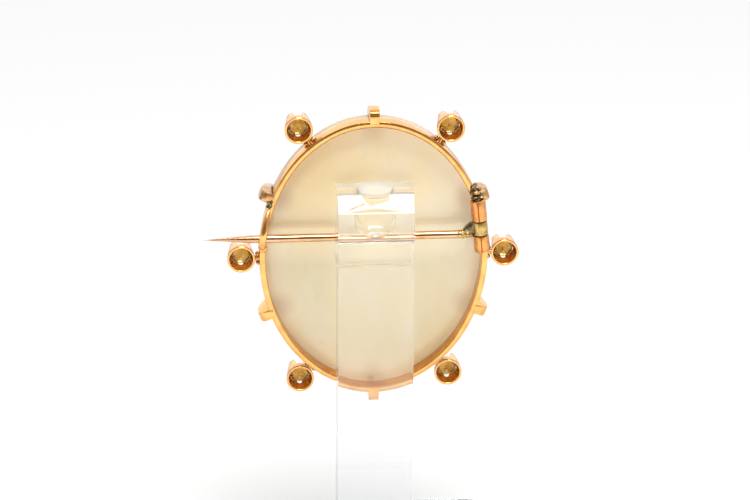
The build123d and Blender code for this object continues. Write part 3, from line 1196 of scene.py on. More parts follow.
        shape = Shape()
        girdle = self.gem_girdle / 2
        for k in range(8):
            turn = 2 * half * k
            shape.points += [
                at(table, turn, table_up + girdle), at(star, turn + half, star_up + girdle),
                at(radius, turn, girdle), at(radius, turn + half, girdle),
                at(radius, turn, -girdle), at(radius, turn + half, -girdle),
                at(lower, turn + half, lower_up - girdle),
            ]
        shape.points.append(at(0.0, 0.0, point - girdle))
        culet = len(shape.points) - 1
        shape.faces.append(tuple(7 * k for k in range(8)))
        for k in range(8):
            here, there, back = 7 * k, 7 * ((k + 1) % 8), 7 * ((k - 1) % 8)
            shape.faces += [
                (here, here + 1, there), (here, back + 1, here + 2, here + 1),
                (here + 1, here + 2, here + 3), (here + 1, here + 3, there + 2),
                (here + 2, here + 4, here + 5, here + 3), (here + 3, here + 5, there + 4, there + 2),
                (here + 6, here + 5, here + 4), (here + 6, there + 4, here + 5),
                (culet, here + 6, here + 4, back + 6),
            ]
        piece = shape.make(f"citrine_gem_{number}", Body.BROOCH, sharp=3.0)
        self.dress(piece, self.stone, Slot.CITRINE)
        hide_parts(f"citrine_{number}")
        return piece


@dataclass
class Hinge(SubAssembly):
    """The hinge tubes on the ring, with their saddle and old solder, and the rivet through them."""

    oval: Oval
    gold: bpy.types.Material
    solder: bpy.types.Material
    shine: bpy.types.Material
    lean: float = 6.1
    height: float = 5.3
    inset: float = 1.0
    lift: float = 1.15
    tube_radius: float = 1.3
    tube_edge: float = 0.1
    bore: float = 0.56
    knuckle_length: float = 2.35
    knuckle_gap: float = 0.12
    upper_length: float = 3.5
    lower_length: float = 2.9
    seam_depth: float = 0.14
    seam_side: Triple = (0.12, 1.0, 0.0)
    saddle: tuple[Pair, ...] = ((-0.75, -0.5), (0.75, -0.5), (0.68, 0.45), (-0.68, 0.45))
    saddle_inset: float = 0.04
    saddle_round: float = 0.08
    lumps_above: tuple[tuple[float, float, float, Triple], ...] = (
        (0.30, 0.30, -0.40, (0.80, 0.62, 0.42)),
        (0.25, -0.55, -0.55, (0.55, 0.50, 0.38)),
        (1.00, 0.75, -0.70, (0.42, 0.45, 0.36)),
        (0.80, -0.60, -0.75, (0.38, 0.50, 0.34)),
        (1.75, 0.45, -0.95, (0.55, 0.42, 0.40)),
        (1.60, -0.45, -0.95, (0.36, 0.40, 0.32)),
        (2.35, 0.10, -1.10, (0.40, 0.35, 0.30)),
    )
    lumps_below: tuple[tuple[float, float, float, Triple], ...] = (
        (-0.05, -0.20, -1.05, (0.75, 0.38, 0.34)),
        (-0.30, 0.35, -1.15, (0.42, 0.32, 0.32)),
    )
    bead_place: Triple = (0.02, -0.42, 1.12)
    bead_size: Triple = (0.55, 0.42, 0.36)
    middle: Vector = field(init=False)
    axis: Vector = field(init=False)

    def __post_init__(self) -> None:
        """Work out the knuckle's middle and the hinge line's direction."""
        across = -(self.oval.half_at(self.height) - self.inset)
        self.middle = self.oval.spot(across, self.height, -self.lift)
        self.axis = Vector((math.sin(math.radians(self.lean)), 0, math.cos(math.radians(self.lean))))

    def tube(self, name: str, start: float, length: float) -> bpy.types.Object:
        """One hinge tube.

        Args:
            name: the piece's name.
            start: where it starts, along the hinge line from the knuckle's middle.
            length: its length.

        Returns:
            The piece.
        """
        r, edge = self.tube_radius, self.tube_edge
        outline = [
            (edge, self.bore), (0.0, self.bore + edge), (0.0, r - edge * 1.6),
            (edge * 0.5, r - edge * 0.4), (edge * 1.6, r), (length * 0.33, r + 0.015),
            (length * 0.66, r - 0.01), (length - edge * 2.4, r), (length - edge * 0.7, r - edge * 0.4),
            (length, r - edge * 1.8), (length, self.bore + edge), (length - edge, self.bore),
            (length * 0.5, self.bore),
        ]
        shape = Shape()
        shape.revolve(self.middle + self.axis * start, self.axis, outline, 72, self.seam_depth,
                      Vector(self.seam_side), closed=True)
        return self.dress(shape.make(name, Body.BROOCH), self.gold, Slot.GOLD)

    def build(self) -> list[bpy.types.Object]:
        """Build the two tubes with their saddles and the solder about them, and dress the rivet.

        Returns:
            The pieces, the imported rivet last.
        """
        reach = self.knuckle_length / 2 + self.knuckle_gap
        top, foot = reach + self.upper_length, -reach - self.lower_length
        pieces = [
            self.tube("hinge_tube_upper", reach, self.upper_length),
            self.tube("hinge_tube_lower", foot, self.lower_length),
            self.saddles((reach, self.upper_length), (foot, self.lower_length)),
            self.old_solder(top, foot),
            self.bead(top),
        ]
        for piece in pieces:
            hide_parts("frame")
        return [*pieces, self.dress(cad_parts["hinge_rivet"], self.solder, Slot.GOLD)]

    def saddles(self, *spans: Pair) -> bpy.types.Object:
        """The flat saddles that carry the tubes on the ring.

        Args:
            spans: each saddle's start along the hinge line and its length.

        Returns:
            The piece.
        """
        saddle = Shape()
        out = self.axis.cross(Vector((0, 1, 0)))
        for start, length in spans:
            foot = self.middle + self.axis * (start + self.saddle_inset)
            outline = [foot + out * a + Vector((0, b - self.lift, 0)) for a, b in self.saddle]
            saddle.slab(outline, self.axis * (length - 2 * self.saddle_inset), self.saddle_round)
        return self.dress(saddle.make("hinge_saddle", Body.BROOCH), self.gold, Slot.GOLD)

    def old_solder(self, top: float, foot: float) -> bpy.types.Object:
        """The lumps of dark solder above the upper tube and below the lower one.

        Args:
            top: the upper tube's end, along the hinge line.
            foot: the lower tube's end.

        Returns:
            The piece.
        """
        lumps = Shape()
        rows = [(top, row) for row in self.lumps_above] + [(foot, row) for row in self.lumps_below]
        for number, (end, (along, across, out, sizes)) in enumerate(rows):
            spot = self.middle + self.axis * (end + along) + Vector((across, out, 0))
            lumps.ball(spot, Vector(sizes), seed=number * 1.3, uneven=0.3)
        return self.dress(lumps.make("hinge_solder", Body.BROOCH, fused=0.06), self.solder, Slot.GOLD)

    def bead(self, top: float) -> bpy.types.Object:
        """The shining bead of gold in the old solder.

        Args:
            top: the upper tube's end, along the hinge line.

        Returns:
            The piece.
        """
        drop = Shape()
        across, out, along = self.bead_place
        spot = self.middle + self.axis * (top + along) + Vector((across, out, 0))
        drop.ball(spot, Vector(self.bead_size), seed=9.0, uneven=0.2)
        return self.dress(drop.make("hinge_solder_bead", Body.BROOCH), self.shine, Slot.GOLD)


@dataclass
class Pin(SubAssembly):
    """The pin: its knuckle, leaf-shaped shoulder, solder lump and stem."""

    hinge: Hinge
    gold: bpy.types.Material
    olive: bpy.types.Material
    solder: bpy.types.Material
    knuckle_radius: float = 1.25
    knuckle_edge: float = 0.09
    bore: float = 0.56
    stem_height: float = 4.15
    stem_radius: float = 0.675
    stem_straight: float = 34.6
    stem_taper: float = 8.6
    tip_radius: float = 0.07
    start_gap: float = 0.35
    stem_root: float = 0.9
    stem_steps: int = 44
    taper_steps: int = 18
    shoulder_reach: float = 1.5
    shoulder_sheet: float = 1.1
    shoulder_round: float = 0.26
    root_lumps: tuple[tuple[Triple, Triple], ...] = (
        ((-0.25, 0.0, 0.05), (0.62, 0.82, 0.66)), ((0.55, 0.0, -0.02), (0.75, 0.76, 0.74)),
        ((-0.85, 0.05, -0.1), (0.5, 0.6, 0.45)), ((1.3, 0.0, 0.02), (0.5, 0.70, 0.70)),
    )

    def build(self) -> list[bpy.types.Object]:
        """Build every piece of the pin.

        Returns:
            The pieces, from the knuckle to the stem.
        """
        hinge = self.hinge
        reach = hinge.tube_radius / math.cos(math.radians(hinge.lean)) + self.start_gap + self.stem_radius
        level = hinge.middle.z - hinge.height + self.stem_height
        start = Vector((hinge.middle.x + reach, hinge.middle.y, level))
        pieces = [self.knuckle(), self.shoulder(start), self.root(start), self.stem(start)]
        for piece in pieces:
            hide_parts("pin")
        return pieces

    def knuckle(self) -> bpy.types.Object:
        """The pin's own knuckle, between the two hinge tubes.

        Returns:
            The piece.
        """
        hinge = self.hinge
        half = hinge.knuckle_length / 2
        knuckle = Shape()
        r, edge = self.knuckle_radius, self.knuckle_edge
        knuckle.revolve(hinge.middle - hinge.axis * half, hinge.axis, [
            (edge, self.bore), (0.0, self.bore + edge), (0.0, r - edge * 1.5),
            (edge * 0.5, r - edge * 0.4), (edge * 1.6, r), (half, r + 0.02), (2 * half - edge * 1.6, r),
            (2 * half - edge * 0.5, r - edge * 0.4), (2 * half, r - edge * 1.5),
            (2 * half, self.bore + edge), (2 * half - edge, self.bore), (half, self.bore),
        ], 64, closed=True)
        return self.dress(knuckle.make("pin_knuckle", Body.SUPPORT), self.olive, Slot.GOLD)

    def shoulder(self, start: Vector) -> bpy.types.Object:
        """The leaf-shaped sheet that joins the knuckle to the stem.

        Args:
            start: the stem's start.

        Returns:
            The piece.
        """
        hinge = self.hinge
        half = hinge.knuckle_length / 2
        r = self.knuckle_radius
        run, rise = start.x - hinge.middle.x, start.z - hinge.middle.z
        corners = [
            (0.75, half * 0.90), (r, half * 0.86), (r + 0.55, half * 0.66),
            (r + self.shoulder_reach * 0.75, half * 0.25), (run + 0.55, rise + 0.75),
            (run + 0.5, rise + 0.35), (run, rise - 0.34), (r, -half * 0.78), (0.75, -half * 0.78),
        ]
        sheet = Shape()
        outline = [hinge.middle + Vector((a, -self.shoulder_sheet / 2, b)) for a, b in corners]
        sheet.slab(outline, Vector((0, self.shoulder_sheet, 0)), self.shoulder_round)
        return self.dress(sheet.make("pin_shoulder", Body.SUPPORT), self.solder, Slot.GOLD)

    def root(self, start: Vector) -> bpy.types.Object:
        """The lump of solder at the stem's root.

        Args:
            start: the stem's start.

        Returns:
            The piece.
        """
        lumps = Shape()
        for number, (offset, sizes) in enumerate(self.root_lumps):
            lumps.ball(start + Vector(offset), Vector(sizes), seed=5 + number, uneven=0.22)
        return self.dress(lumps.make("pin_solder", Body.SUPPORT, fused=0.07), self.olive, Slot.GOLD)

    def stem(self, start: Vector) -> bpy.types.Object:
        """The round wire, straight and then drawn out to a point.

        Args:
            start: its start.

        Returns:
            The piece.
        """
        stem = Shape()
        r, root = self.stem_radius, self.stem_root
        profile = [(-0.2, r * 0.6), (0.1, r * 0.85), (root, r)]
        for step in range(1, self.stem_steps + 1):
            along = root + (self.stem_straight - root) * step / self.stem_steps
            profile.append((along, r * (1 + 0.006 * ripple(Vector((along, 0, 0)), 1.6))))
        for step in range(1, self.taper_steps + 1):
            t = step / self.taper_steps
            radius = r * (1 - t) ** 0.92 * (1 + 0.25 * t * (1 - t))
            profile.append((self.stem_straight + self.stem_taper * t, max(radius, self.tip_radius)))
        stem.revolve(start, Vector((1, 0, 0)), profile, 40)
        return self.dress(stem.make("pin_stem", Body.SUPPORT, sharp=60.0), self.gold, Slot.GOLD)


@dataclass
class Catch(SubAssembly):
    """The C catch: a flat wire that rises from the ring and hooks over the stem."""

    oval: Oval
    gold: bpy.types.Material
    solder: bpy.types.Material
    height: float = 1.8
    length: float = 7.8
    band: float = 1.0
    wire: tuple[tuple[float, float, float, float, float], ...] = (
        (0.15, -0.45, 0.18, 1.20, 0.95), (0.50, 0.35, 0.23, 1.20, 0.80), (0.62, 1.15, 0.33, 1.20, 0.74),
        (1.05, 1.95, 0.45, 1.20, 0.72), (2.05, 2.42, 0.58, 1.22, 0.70), (3.25, 2.55, 0.67, 1.20, 0.70),
        (4.40, 2.38, 0.70, 1.16, 0.68), (5.45, 1.94, 0.66, 1.08, 0.66), (6.45, 1.36, 0.55, 0.90, 0.60),
        (7.25, 0.80, 0.40, 0.50, 0.44),
    )
    root_size: Triple = (0.72, 0.35, 0.85)
    crumbs: tuple[tuple[float, float, float, float], ...] = (
        (7.75, 0.15, 0.30, 0.34), (8.15, 0.25, 0.62, 0.30), (8.45, 0.05, 0.25, 0.26),
        (7.60, 0.10, 0.75, 0.24),
    )

    def build(self) -> list[bpy.types.Object]:
        """Build the wire, from its soldered root to its free end, and the crumbs of solder above it.

        Returns:
            The pieces.
        """
        foot_half = self.oval.half_at(self.height) - self.band / 2
        top_half = self.oval.half_at(self.height + self.length) - self.band / 2
        lean = math.atan2(foot_half - top_half, self.length)
        along = Vector((-math.sin(lean), 0, math.cos(lean)))
        across = Vector((math.cos(lean), 0, math.sin(lean)))
        foot = self.oval.spot(foot_half, self.height, 0)
        spots = [foot + along * a + across * o + Vector((0, b, 0)) for a, b, o, _, _ in self.wire]
        sizes = [Vector((w, t, 0)) for _, _, _, w, t in self.wire]
        path, smooth_sizes = cubic_path(spots, 8), cubic_path(sizes, 8)
        catch = Shape()
        catch.sweep(path, [s.x for s in smooth_sizes], [s.y for s in smooth_sizes], [across] * len(path),
                    corners=28, square=2.15)
        catch.ball(foot + along * 0.2 + Vector((0, 0.02, 0)), Vector(self.root_size), seed=3.0)
        lumps = Shape()
        for number, (a, b, o, size) in enumerate(self.crumbs):
            middle = foot + along * a + across * o + Vector((0, b, 0))
            lumps.ball(middle, Vector((size, size * 0.8, size * 1.1)), seed=number * 1.7, uneven=0.35)
        pieces = [self.dress(catch.make("catch_wire", Body.BROOCH), self.gold, Slot.GOLD),
                  self.dress(lumps.make("catch_solder", Body.BROOCH), self.solder, Slot.GOLD)]
        for piece in pieces:
            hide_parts("frame")
        return pieces


@dataclass
class Cameo(SubAssembly):
    """The oval stone, bevelled and domed in front, with a carved profile bust."""

    oval: Oval
    stone: bpy.types.Material
    inset: float = 0.15
    back: float = 2.24
    edge: float = 2.0
    bevel_width: float = 0.9
    bevel_depth: float = 0.5
    dome: float = 0.9
    soft: float = 0.12
    grain: int = 280
    white_from: float = 0.08
    white_over: float = 0.35

    def build(self) -> list[bpy.types.Object]:
        """Build the stone as one closed mesh, and mark on it where the carving stands out.

        Returns:
            The one piece.
        """
        half_wide = self.oval.half_width - self.inset
        half_high = self.oval.half_height - self.inset
        flat_wide, flat_high = half_wide - self.bevel_width, half_high - self.bevel_width
        line = np.linspace(-1.0, 1.0, self.grain + 1)
        u, v = np.meshgrid(line, line, indexing="ij")
        across = u * np.sqrt(1 - v * v / 2) * flat_wide
        up = v * np.sqrt(1 - u * u / 2) * flat_high
        share = np.clip((across / flat_wide) ** 2 + (up / flat_high) ** 2, 0, 1)
        carved = Bust(half_wide, half_high).heights(across, up)
        depth = self.back + self.edge + self.bevel_depth + self.dome * (1 - share) + carved
        shape = Shape()
        size = self.grain + 1
        flat = np.stack([across, -depth, self.oval.height + up], axis=-1).reshape(-1, 3)
        shape.points = [Vector(p) for p in flat]
        for i in range(self.grain):
            for j in range(self.grain):
                a = i * size + j
                shape.faces.append((a, a + 1, a + size + 1, a + size))
        rim = [i * size for i in range(size)]
        rim += [self.grain * size + j for j in range(1, size)]
        rim += [i * size + self.grain for i in range(self.grain - 1, -1, -1)]
        rim += [j for j in range(self.grain - 1, 0, -1)]
        self.skirt(shape, rim, half_wide, half_high, flat_wide, flat_high)
        piece = self.dress(shape.make("cameo_stone", Body.BROOCH, sharp=24.0), self.stone, Slot.STONE)
        white = piece.data.attributes.new("carved", "FLOAT", "POINT")
        spots = np.empty(len(piece.data.vertices) * 3)
        piece.data.vertices.foreach_get("co", spots)
        spots = spots.reshape(-1, 3) / MM
        share = (spots[:, 0] / flat_wide) ** 2 + ((spots[:, 2] - self.oval.height) / flat_high) ** 2
        ground = self.back + self.edge + self.bevel_depth + self.dome * (1 - share)
        risen = (-spots[:, 1] - ground - self.white_from) / self.white_over
        white.data.foreach_set("value", np.clip(risen, 0, 1))
        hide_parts("cameo")
        return [piece]

    def skirt(self, shape: Shape, rim: list[int], half_wide: float, half_high: float, flat_wide: float,
              flat_high: float) -> None:
        """Carry the front's rim over the bevel and round the edge to the flat back.

        Args:
            shape: the stone under way.
            rim: the front's rim, in order.
            half_wide: half the stone's width.
            half_high: half its height.
            flat_wide: half the width inside the bevel.
            flat_high: half the height inside the bevel.
        """
        front, soft, level = self.back + self.edge, self.soft, self.oval.height
        rows = (
            (soft, front - soft * 0.1), (0.0, front - soft), (0.0, self.back + soft),
            (soft * 0.5, self.back + soft * 0.3), (soft * 1.3, self.back),
        )
        ends = [(shape.points[i].x / flat_wide, (shape.points[i].z - level) / flat_high) for i in rim]
        last = rim
        for inset, depth in rows:
            start = len(shape.points)
            for c, s in ends:
                across, up = c * (half_wide - inset), s * (half_high - inset)
                shape.points.append(Vector((across, -depth, level + up)))
            row = list(range(start, start + len(rim)))
            for i in range(len(rim)):
                k = (i + 1) % len(rim)
                shape.faces.append((last[i], last[k], row[k], row[i]))
            last = row
        shape.fan(last)


@dataclass(frozen=True)
class Mound:
    """A soft hill or hollow in the carving.

    Its place is in shares of the stone's half width and half height, its sizes in millimetres.
    """

    across: float
    up: float
    wide: float
    high: float
    turn: float
    rise: float


@dataclass(frozen=True)
class Stroke:
    """A raised or cut line in the carving, through points given as shares."""

    points: tuple[Pair, ...]
    width: float
    rise: float


@dataclass
class Bust:
    """The carved head and shoulders, as a height over the stone's ground.

    The outlines hold shares of the stone's half width and half height. The face looks to +X.
    """

    half_wide: float
    half_high: float
    head_rise: float = 1.5
    head_round: float = 2.1
    neck_rise: float = 1.05
    neck_round: float = 2.4
    hair_rise: float = 1.95
    hair_round: float = 1.5
    drape_rise: float = 1.45
    drape_round: float = 1.1
    jaw_crease: float = 0.22
    crease: float = 0.10
    head: tuple[Pair, ...] = (
        (-0.30, 0.30), (-0.18, 0.50), (0.08, 0.62), (0.28, 0.625), (0.375, 0.55), (0.400, 0.46),
        (0.385, 0.405), (0.378, 0.375), (0.415, 0.320), (0.465, 0.262), (0.498, 0.222), (0.482, 0.192),
        (0.412, 0.180), (0.402, 0.158), (0.428, 0.138), (0.418, 0.118), (0.388, 0.106), (0.408, 0.092),
        (0.410, 0.070), (0.372, 0.046), (0.366, 0.022), (0.386, -0.012), (0.370, -0.052), (0.320, -0.074),
        (0.230, -0.060), (0.120, -0.025), (0.030, 0.040), (-0.02, 0.130), (-0.16, 0.150),
    )
    neck: tuple[Pair, ...] = (
        (-0.26, 0.20), (0.10, 0.20), (0.26, -0.02), (0.150, -0.085), (0.105, -0.15), (0.095, -0.24),
        (0.130, -0.34), (0.22, -0.42), (0.34, -0.48), (0.425, -0.56), (0.40, -0.64), (0.22, -0.72),
        (-0.05, -0.755), (-0.30, -0.72), (-0.50, -0.63), (-0.575, -0.54), (-0.50, -0.43), (-0.34, -0.34),
        (-0.25, -0.24), (-0.235, -0.12), (-0.26, 0.02),
    )
    hair: tuple[Pair, ...] = (
        (0.355, 0.575), (0.33, 0.645), (0.24, 0.715), (0.10, 0.765), (-0.10, 0.775), (-0.28, 0.725),
        (-0.42, 0.62), (-0.50, 0.50), (-0.60, 0.43), (-0.68, 0.33), (-0.70, 0.22), (-0.65, 0.11),
        (-0.54, 0.04), (-0.42, 0.03), (-0.34, -0.02), (-0.27, -0.10), (-0.20, -0.06), (-0.17, 0.04),
        (-0.13, 0.12), (-0.075, 0.16), (-0.08, 0.27), (-0.02, 0.345), (0.08, 0.375), (0.14, 0.44),
        (0.23, 0.50), (0.30, 0.535),
    )
    drape: tuple[Pair, ...] = (
        (0.425, -0.57), (0.40, -0.65), (0.22, -0.73), (-0.05, -0.765), (-0.30, -0.73), (-0.50, -0.64),
        (-0.58, -0.54), (-0.50, -0.44), (-0.38, -0.40), (-0.24, -0.46), (-0.05, -0.56), (0.12, -0.60),
        (0.28, -0.585),
    )
    mounds: tuple[Mound, ...] = (
        Mound(0.20, 0.24, 2.6, 2.2, -20, 0.30), Mound(0.325, 0.375, 1.15, 0.95, 10, -0.42),
        Mound(0.318, 0.358, 0.62, 0.46, 0, 0.34), Mound(0.33, 0.435, 1.3, 0.45, 8, 0.16),
        Mound(0.425, 0.215, 0.50, 0.55, -25, 0.26), Mound(0.452, 0.196, 0.18, 0.14, 0, -0.22),
        Mound(0.395, 0.140, 0.55, 0.30, -15, 0.14), Mound(0.385, 0.082, 0.50, 0.34, 12, 0.18),
        Mound(0.350, 0.040, 0.60, 0.32, 0, -0.12), Mound(0.345, -0.012, 0.85, 0.80, 0, 0.22),
        Mound(0.10, 0.02, 1.8, 0.9, -38, 0.16), Mound(0.02, 0.46, 2.6, 2.0, 0, 0.10),
        Mound(-0.03, 0.245, 0.75, 1.25, 12, 0.26), Mound(-0.02, 0.250, 0.30, 0.62, 12, -0.30),
        Mound(-0.30, -0.50, 3.2, 2.2, -15, 0.35), Mound(0.10, -0.46, 2.0, 1.4, -30, -0.15),
    )
    strokes: tuple[Stroke, ...] = (
        Stroke(((0.275, 0.350), (0.300, 0.376), (0.335, 0.380), (0.362, 0.362)), 0.17, 0.16),
        Stroke(((0.280, 0.345), (0.310, 0.334), (0.350, 0.344)), 0.15, 0.09),
        Stroke(((0.275, 0.352), (0.310, 0.362), (0.345, 0.356)), 0.12, -0.08),
        Stroke(((0.225, 0.405), (0.285, 0.432), (0.350, 0.428), (0.385, 0.410)), 0.28, 0.12),
        Stroke(((0.318, 0.104), (0.350, 0.108), (0.385, 0.108)), 0.14, -0.18),
        Stroke(((0.400, 0.205), (0.360, 0.165), (0.325, 0.120)), 0.35, -0.08),
        Stroke(((-0.050, 0.180), (-0.075, 0.260), (-0.040, 0.330), (0.005, 0.305), (0.000, 0.250)),
               0.24, 0.20),
        Stroke(((-0.10, 0.10), (0.00, -0.10), (0.09, -0.30), (0.14, -0.40)), 0.65, 0.20),
        Stroke(((0.16, -0.42), (0.00, -0.44), (-0.18, -0.38)), 0.45, 0.14),
    )
    hair_turn: Pair = (-0.03, 0.28)
    bun: Pair = (-0.545, 0.235)
    bun_reach: float = 4.1
    lock_width: float = 1.28
    lock_sway: float = 0.42
    lock_depth: float = 0.16
    strand_width: float = 0.47
    coil_width: float = 1.15
    coil_strand: float = 0.45
    curl_width: float = 0.62
    band: Stroke = Stroke(((0.315, 0.655), (0.16, 0.600), (0.00, 0.520), (-0.17, 0.400), (-0.30, 0.260)),
                          0.55, 0.34)
    curls: tuple[Mound, ...] = (
        Mound(0.28, 0.555, 0.85, 0.85, 0, 0.30), Mound(0.175, 0.485, 0.90, 0.90, 60, 0.32),
        Mound(0.075, 0.415, 0.90, 0.90, 120, 0.32), Mound(-0.035, 0.375, 0.85, 0.85, 200, 0.28),
        Mound(-0.245, -0.045, 0.95, 0.95, 40, 0.34), Mound(-0.205, 0.075, 0.80, 0.80, 300, 0.30),
    )
    fold_from: Pair = (0.30, -0.52)
    fold_count: int = 17
    fold_depth: float = 0.24

    def heights(self, across: np.ndarray, up: np.ndarray) -> np.ndarray:
        """How far the carving stands out at each point.

        Args:
            across: the points' places across, in millimetres.
            up: their places up.

        Returns:
            The height at each point.
        """
        spots = across, up
        head = self.within(self.head, spots)
        hair = self.within(self.hair, spots)
        drape = self.within(self.drape, spots)
        modelling = sum(self.mound(m, spots) for m in self.mounds)
        modelling = modelling + sum(self.stroke(s, spots) for s in self.strokes)
        height = self.rounded(self.within(self.neck, spots), self.neck_round) * self.neck_rise
        face = self.rounded(head, self.head_round) * self.head_rise
        height = self.joined(height, face, self.jaw_crease)
        height = height + modelling * self.rounded(height / self.neck_rise, 0.6)
        locks = self.locks(spots) + self.stroke(self.band, spots)
        curls = sum(self.curl(c, spots) for c in self.curls)
        dressed = self.rounded(hair + curls * 1.4, self.hair_round) * (self.hair_rise + locks + curls)
        cloth = self.rounded(drape, self.drape_round) * (self.drape_rise + self.folds(spots))
        return self.joined(self.joined(height, dressed, self.crease), cloth, self.crease)

    def place(self, share: Pair) -> Pair:
        """A share's place in millimetres."""
        return share[0] * self.half_wide, share[1] * self.half_high

    def within(self, outline: tuple[Pair, ...], spots: tuple[np.ndarray, np.ndarray]) -> np.ndarray:
        """How far each point lies inside a smooth closed outline.

        Args:
            outline: the outline's points, as shares.
            spots: the points' places across and up, in millimetres.

        Returns:
            The distance to the outline, below 0 outside it.
        """
        corners = [Vector((*self.place(p), 0)) for p in outline]
        path = cubic_path([*corners[-2:], *corners, *corners[:2]], 6)[12:-6]
        inside = np.zeros(spots[0].shape, dtype=bool)
        for a, b in zip(path, path[1:]):
            crosses = (a.y > spots[1]) != (b.y > spots[1])
            if a.y != b.y:
                meets = a.x + (spots[1] - a.y) * (b.x - a.x) / (b.y - a.y)
                inside ^= crosses & (spots[0] < meets)
        return np.where(inside, 1.0, -1.0) * self.distance(path, spots)

    def distance(self, path: list[Vector], spots: tuple[np.ndarray, np.ndarray]) -> np.ndarray:
        """Each point's distance from a path.

        Args:
            path: the path's points, in millimetres.
            spots: the points' places across and up, in millimetres.

        Returns:
            The distances.
        """
        least = np.full(spots[0].shape, np.inf)
        for a, b in zip(path, path[1:]):
            run_x, run_y = b.x - a.x, b.y - a.y
            size = max(run_x**2 + run_y**2, 1e-12)
            t = np.clip(((spots[0] - a.x) * run_x + (spots[1] - a.y) * run_y) / size, 0, 1)
            least = np.minimum(least, np.hypot(spots[0] - a.x - t * run_x, spots[1] - a.y - t * run_y))
        return least

    def stroke(self, stroke: Stroke, spots: tuple[np.ndarray, np.ndarray]) -> np.ndarray:
        """A stroke's height at each point."""
        path = cubic_path([Vector((*self.place(p), 0)) for p in stroke.points], 6)
        return stroke.rise * np.exp(-((self.distance(path, spots) / stroke.width) ** 2))

    def mound(self, mound: Mound, spots: tuple[np.ndarray, np.ndarray]) -> np.ndarray:
        """A mound's height.

        Args:
            mound: the mound.
            spots: the points' places across and up, in millimetres.

        Returns:
            The height at each point.
        """
        x, y = self.place((mound.across, mound.up))
        c, s = math.cos(math.radians(mound.turn)), math.sin(math.radians(mound.turn))
        dx, dy = spots[0] - x, spots[1] - y
        along, aside = dx * c + dy * s, dy * c - dx * s
        return mound.rise * np.exp(-((along / mound.wide) ** 2) - (aside / mound.high) ** 2)

    def curl(self, curl: Mound, spots: tuple[np.ndarray, np.ndarray]) -> np.ndarray:
        """A small curl of hair: a mound cut by a spiral groove.

        Args:
            curl: the mound, whose turn is that of the groove.
            spots: the points' places across and up, in millimetres.

        Returns:
            The height at each point.
        """
        x, y = self.place((curl.across, curl.up))
        reach = np.hypot(spots[0] - x, spots[1] - y)
        turn = np.arctan2(spots[1] - y, spots[0] - x) + math.radians(curl.turn)
        groove = 0.5 + 0.5 * np.cos(2 * math.pi * reach / self.curl_width - turn)
        return self.mound(curl, spots) * (0.55 + 0.75 * groove)

    def locks(self, spots: tuple[np.ndarray, np.ndarray]) -> np.ndarray:
        """The waves of hair, swept round the ear and wound up in a bun.

        Args:
            spots: the points' places across and up, in millimetres.

        Returns:
            The height at each point.
        """
        x, y = self.place(self.hair_turn)
        reach = np.hypot(spots[0] - x, (spots[1] - y) * 0.92)
        turn = np.arctan2(spots[1] - y, spots[0] - x)
        sway = self.lock_sway * np.sin(turn * 7.0 + reach * 0.35)
        swept = np.cos(2 * math.pi * (reach + sway) / self.lock_width)
        swept = swept + 0.45 * np.cos(2 * math.pi * (reach + sway * 1.2) / self.strand_width)
        bun_x, bun_y = self.place(self.bun)
        bun_away = np.hypot(spots[0] - bun_x, spots[1] - bun_y)
        bun_turn = np.arctan2(spots[1] - bun_y, spots[0] - bun_x)
        wound = np.cos(2 * math.pi * bun_away / self.coil_width + bun_turn)
        wound = wound + 0.4 * np.cos(2 * math.pi * bun_away / self.coil_strand + 3 * bun_turn)
        share = 1 / (1 + np.exp((bun_away - self.bun_reach) / 0.25))
        swell = 0.5 * np.exp(-((bun_away / 3.2) ** 2))
        swell = swell - 0.35 * np.exp(-(((bun_away - self.bun_reach) / 0.5) ** 2))
        return self.lock_depth * (swept * (1 - share) + wound * share) + swell

    def folds(self, spots: tuple[np.ndarray, np.ndarray]) -> np.ndarray:
        """The folds of cloth, fanning out from the front of the shoulder.

        Args:
            spots: the points' places across and up, in millimetres.

        Returns:
            The height at each point.
        """
        x, y = self.place(self.fold_from)
        turn = np.arctan2(spots[1] - y, x - spots[0])
        reach = np.hypot(spots[0] - x, spots[1] - y)
        waves = np.cos(turn * self.fold_count + 0.4 * np.sin(reach * 0.7))
        return self.fold_depth * waves * np.clip(reach / 4, 0, 1) + 0.1

    def rounded(self, depth: np.ndarray, reach: float) -> np.ndarray:
        """A rounded rise from 0 at an edge to 1 at a distance inside it."""
        share = np.clip(depth / reach, 0, 1)
        return np.sqrt(1 - (1 - share) ** 2)

    def joined(self, first: np.ndarray, second: np.ndarray, soft: float) -> np.ndarray:
        """The higher of two heights, with a soft crease where they meet."""
        return 0.5 * (first + second + np.sqrt((first - second) ** 2 + soft**2) - soft)


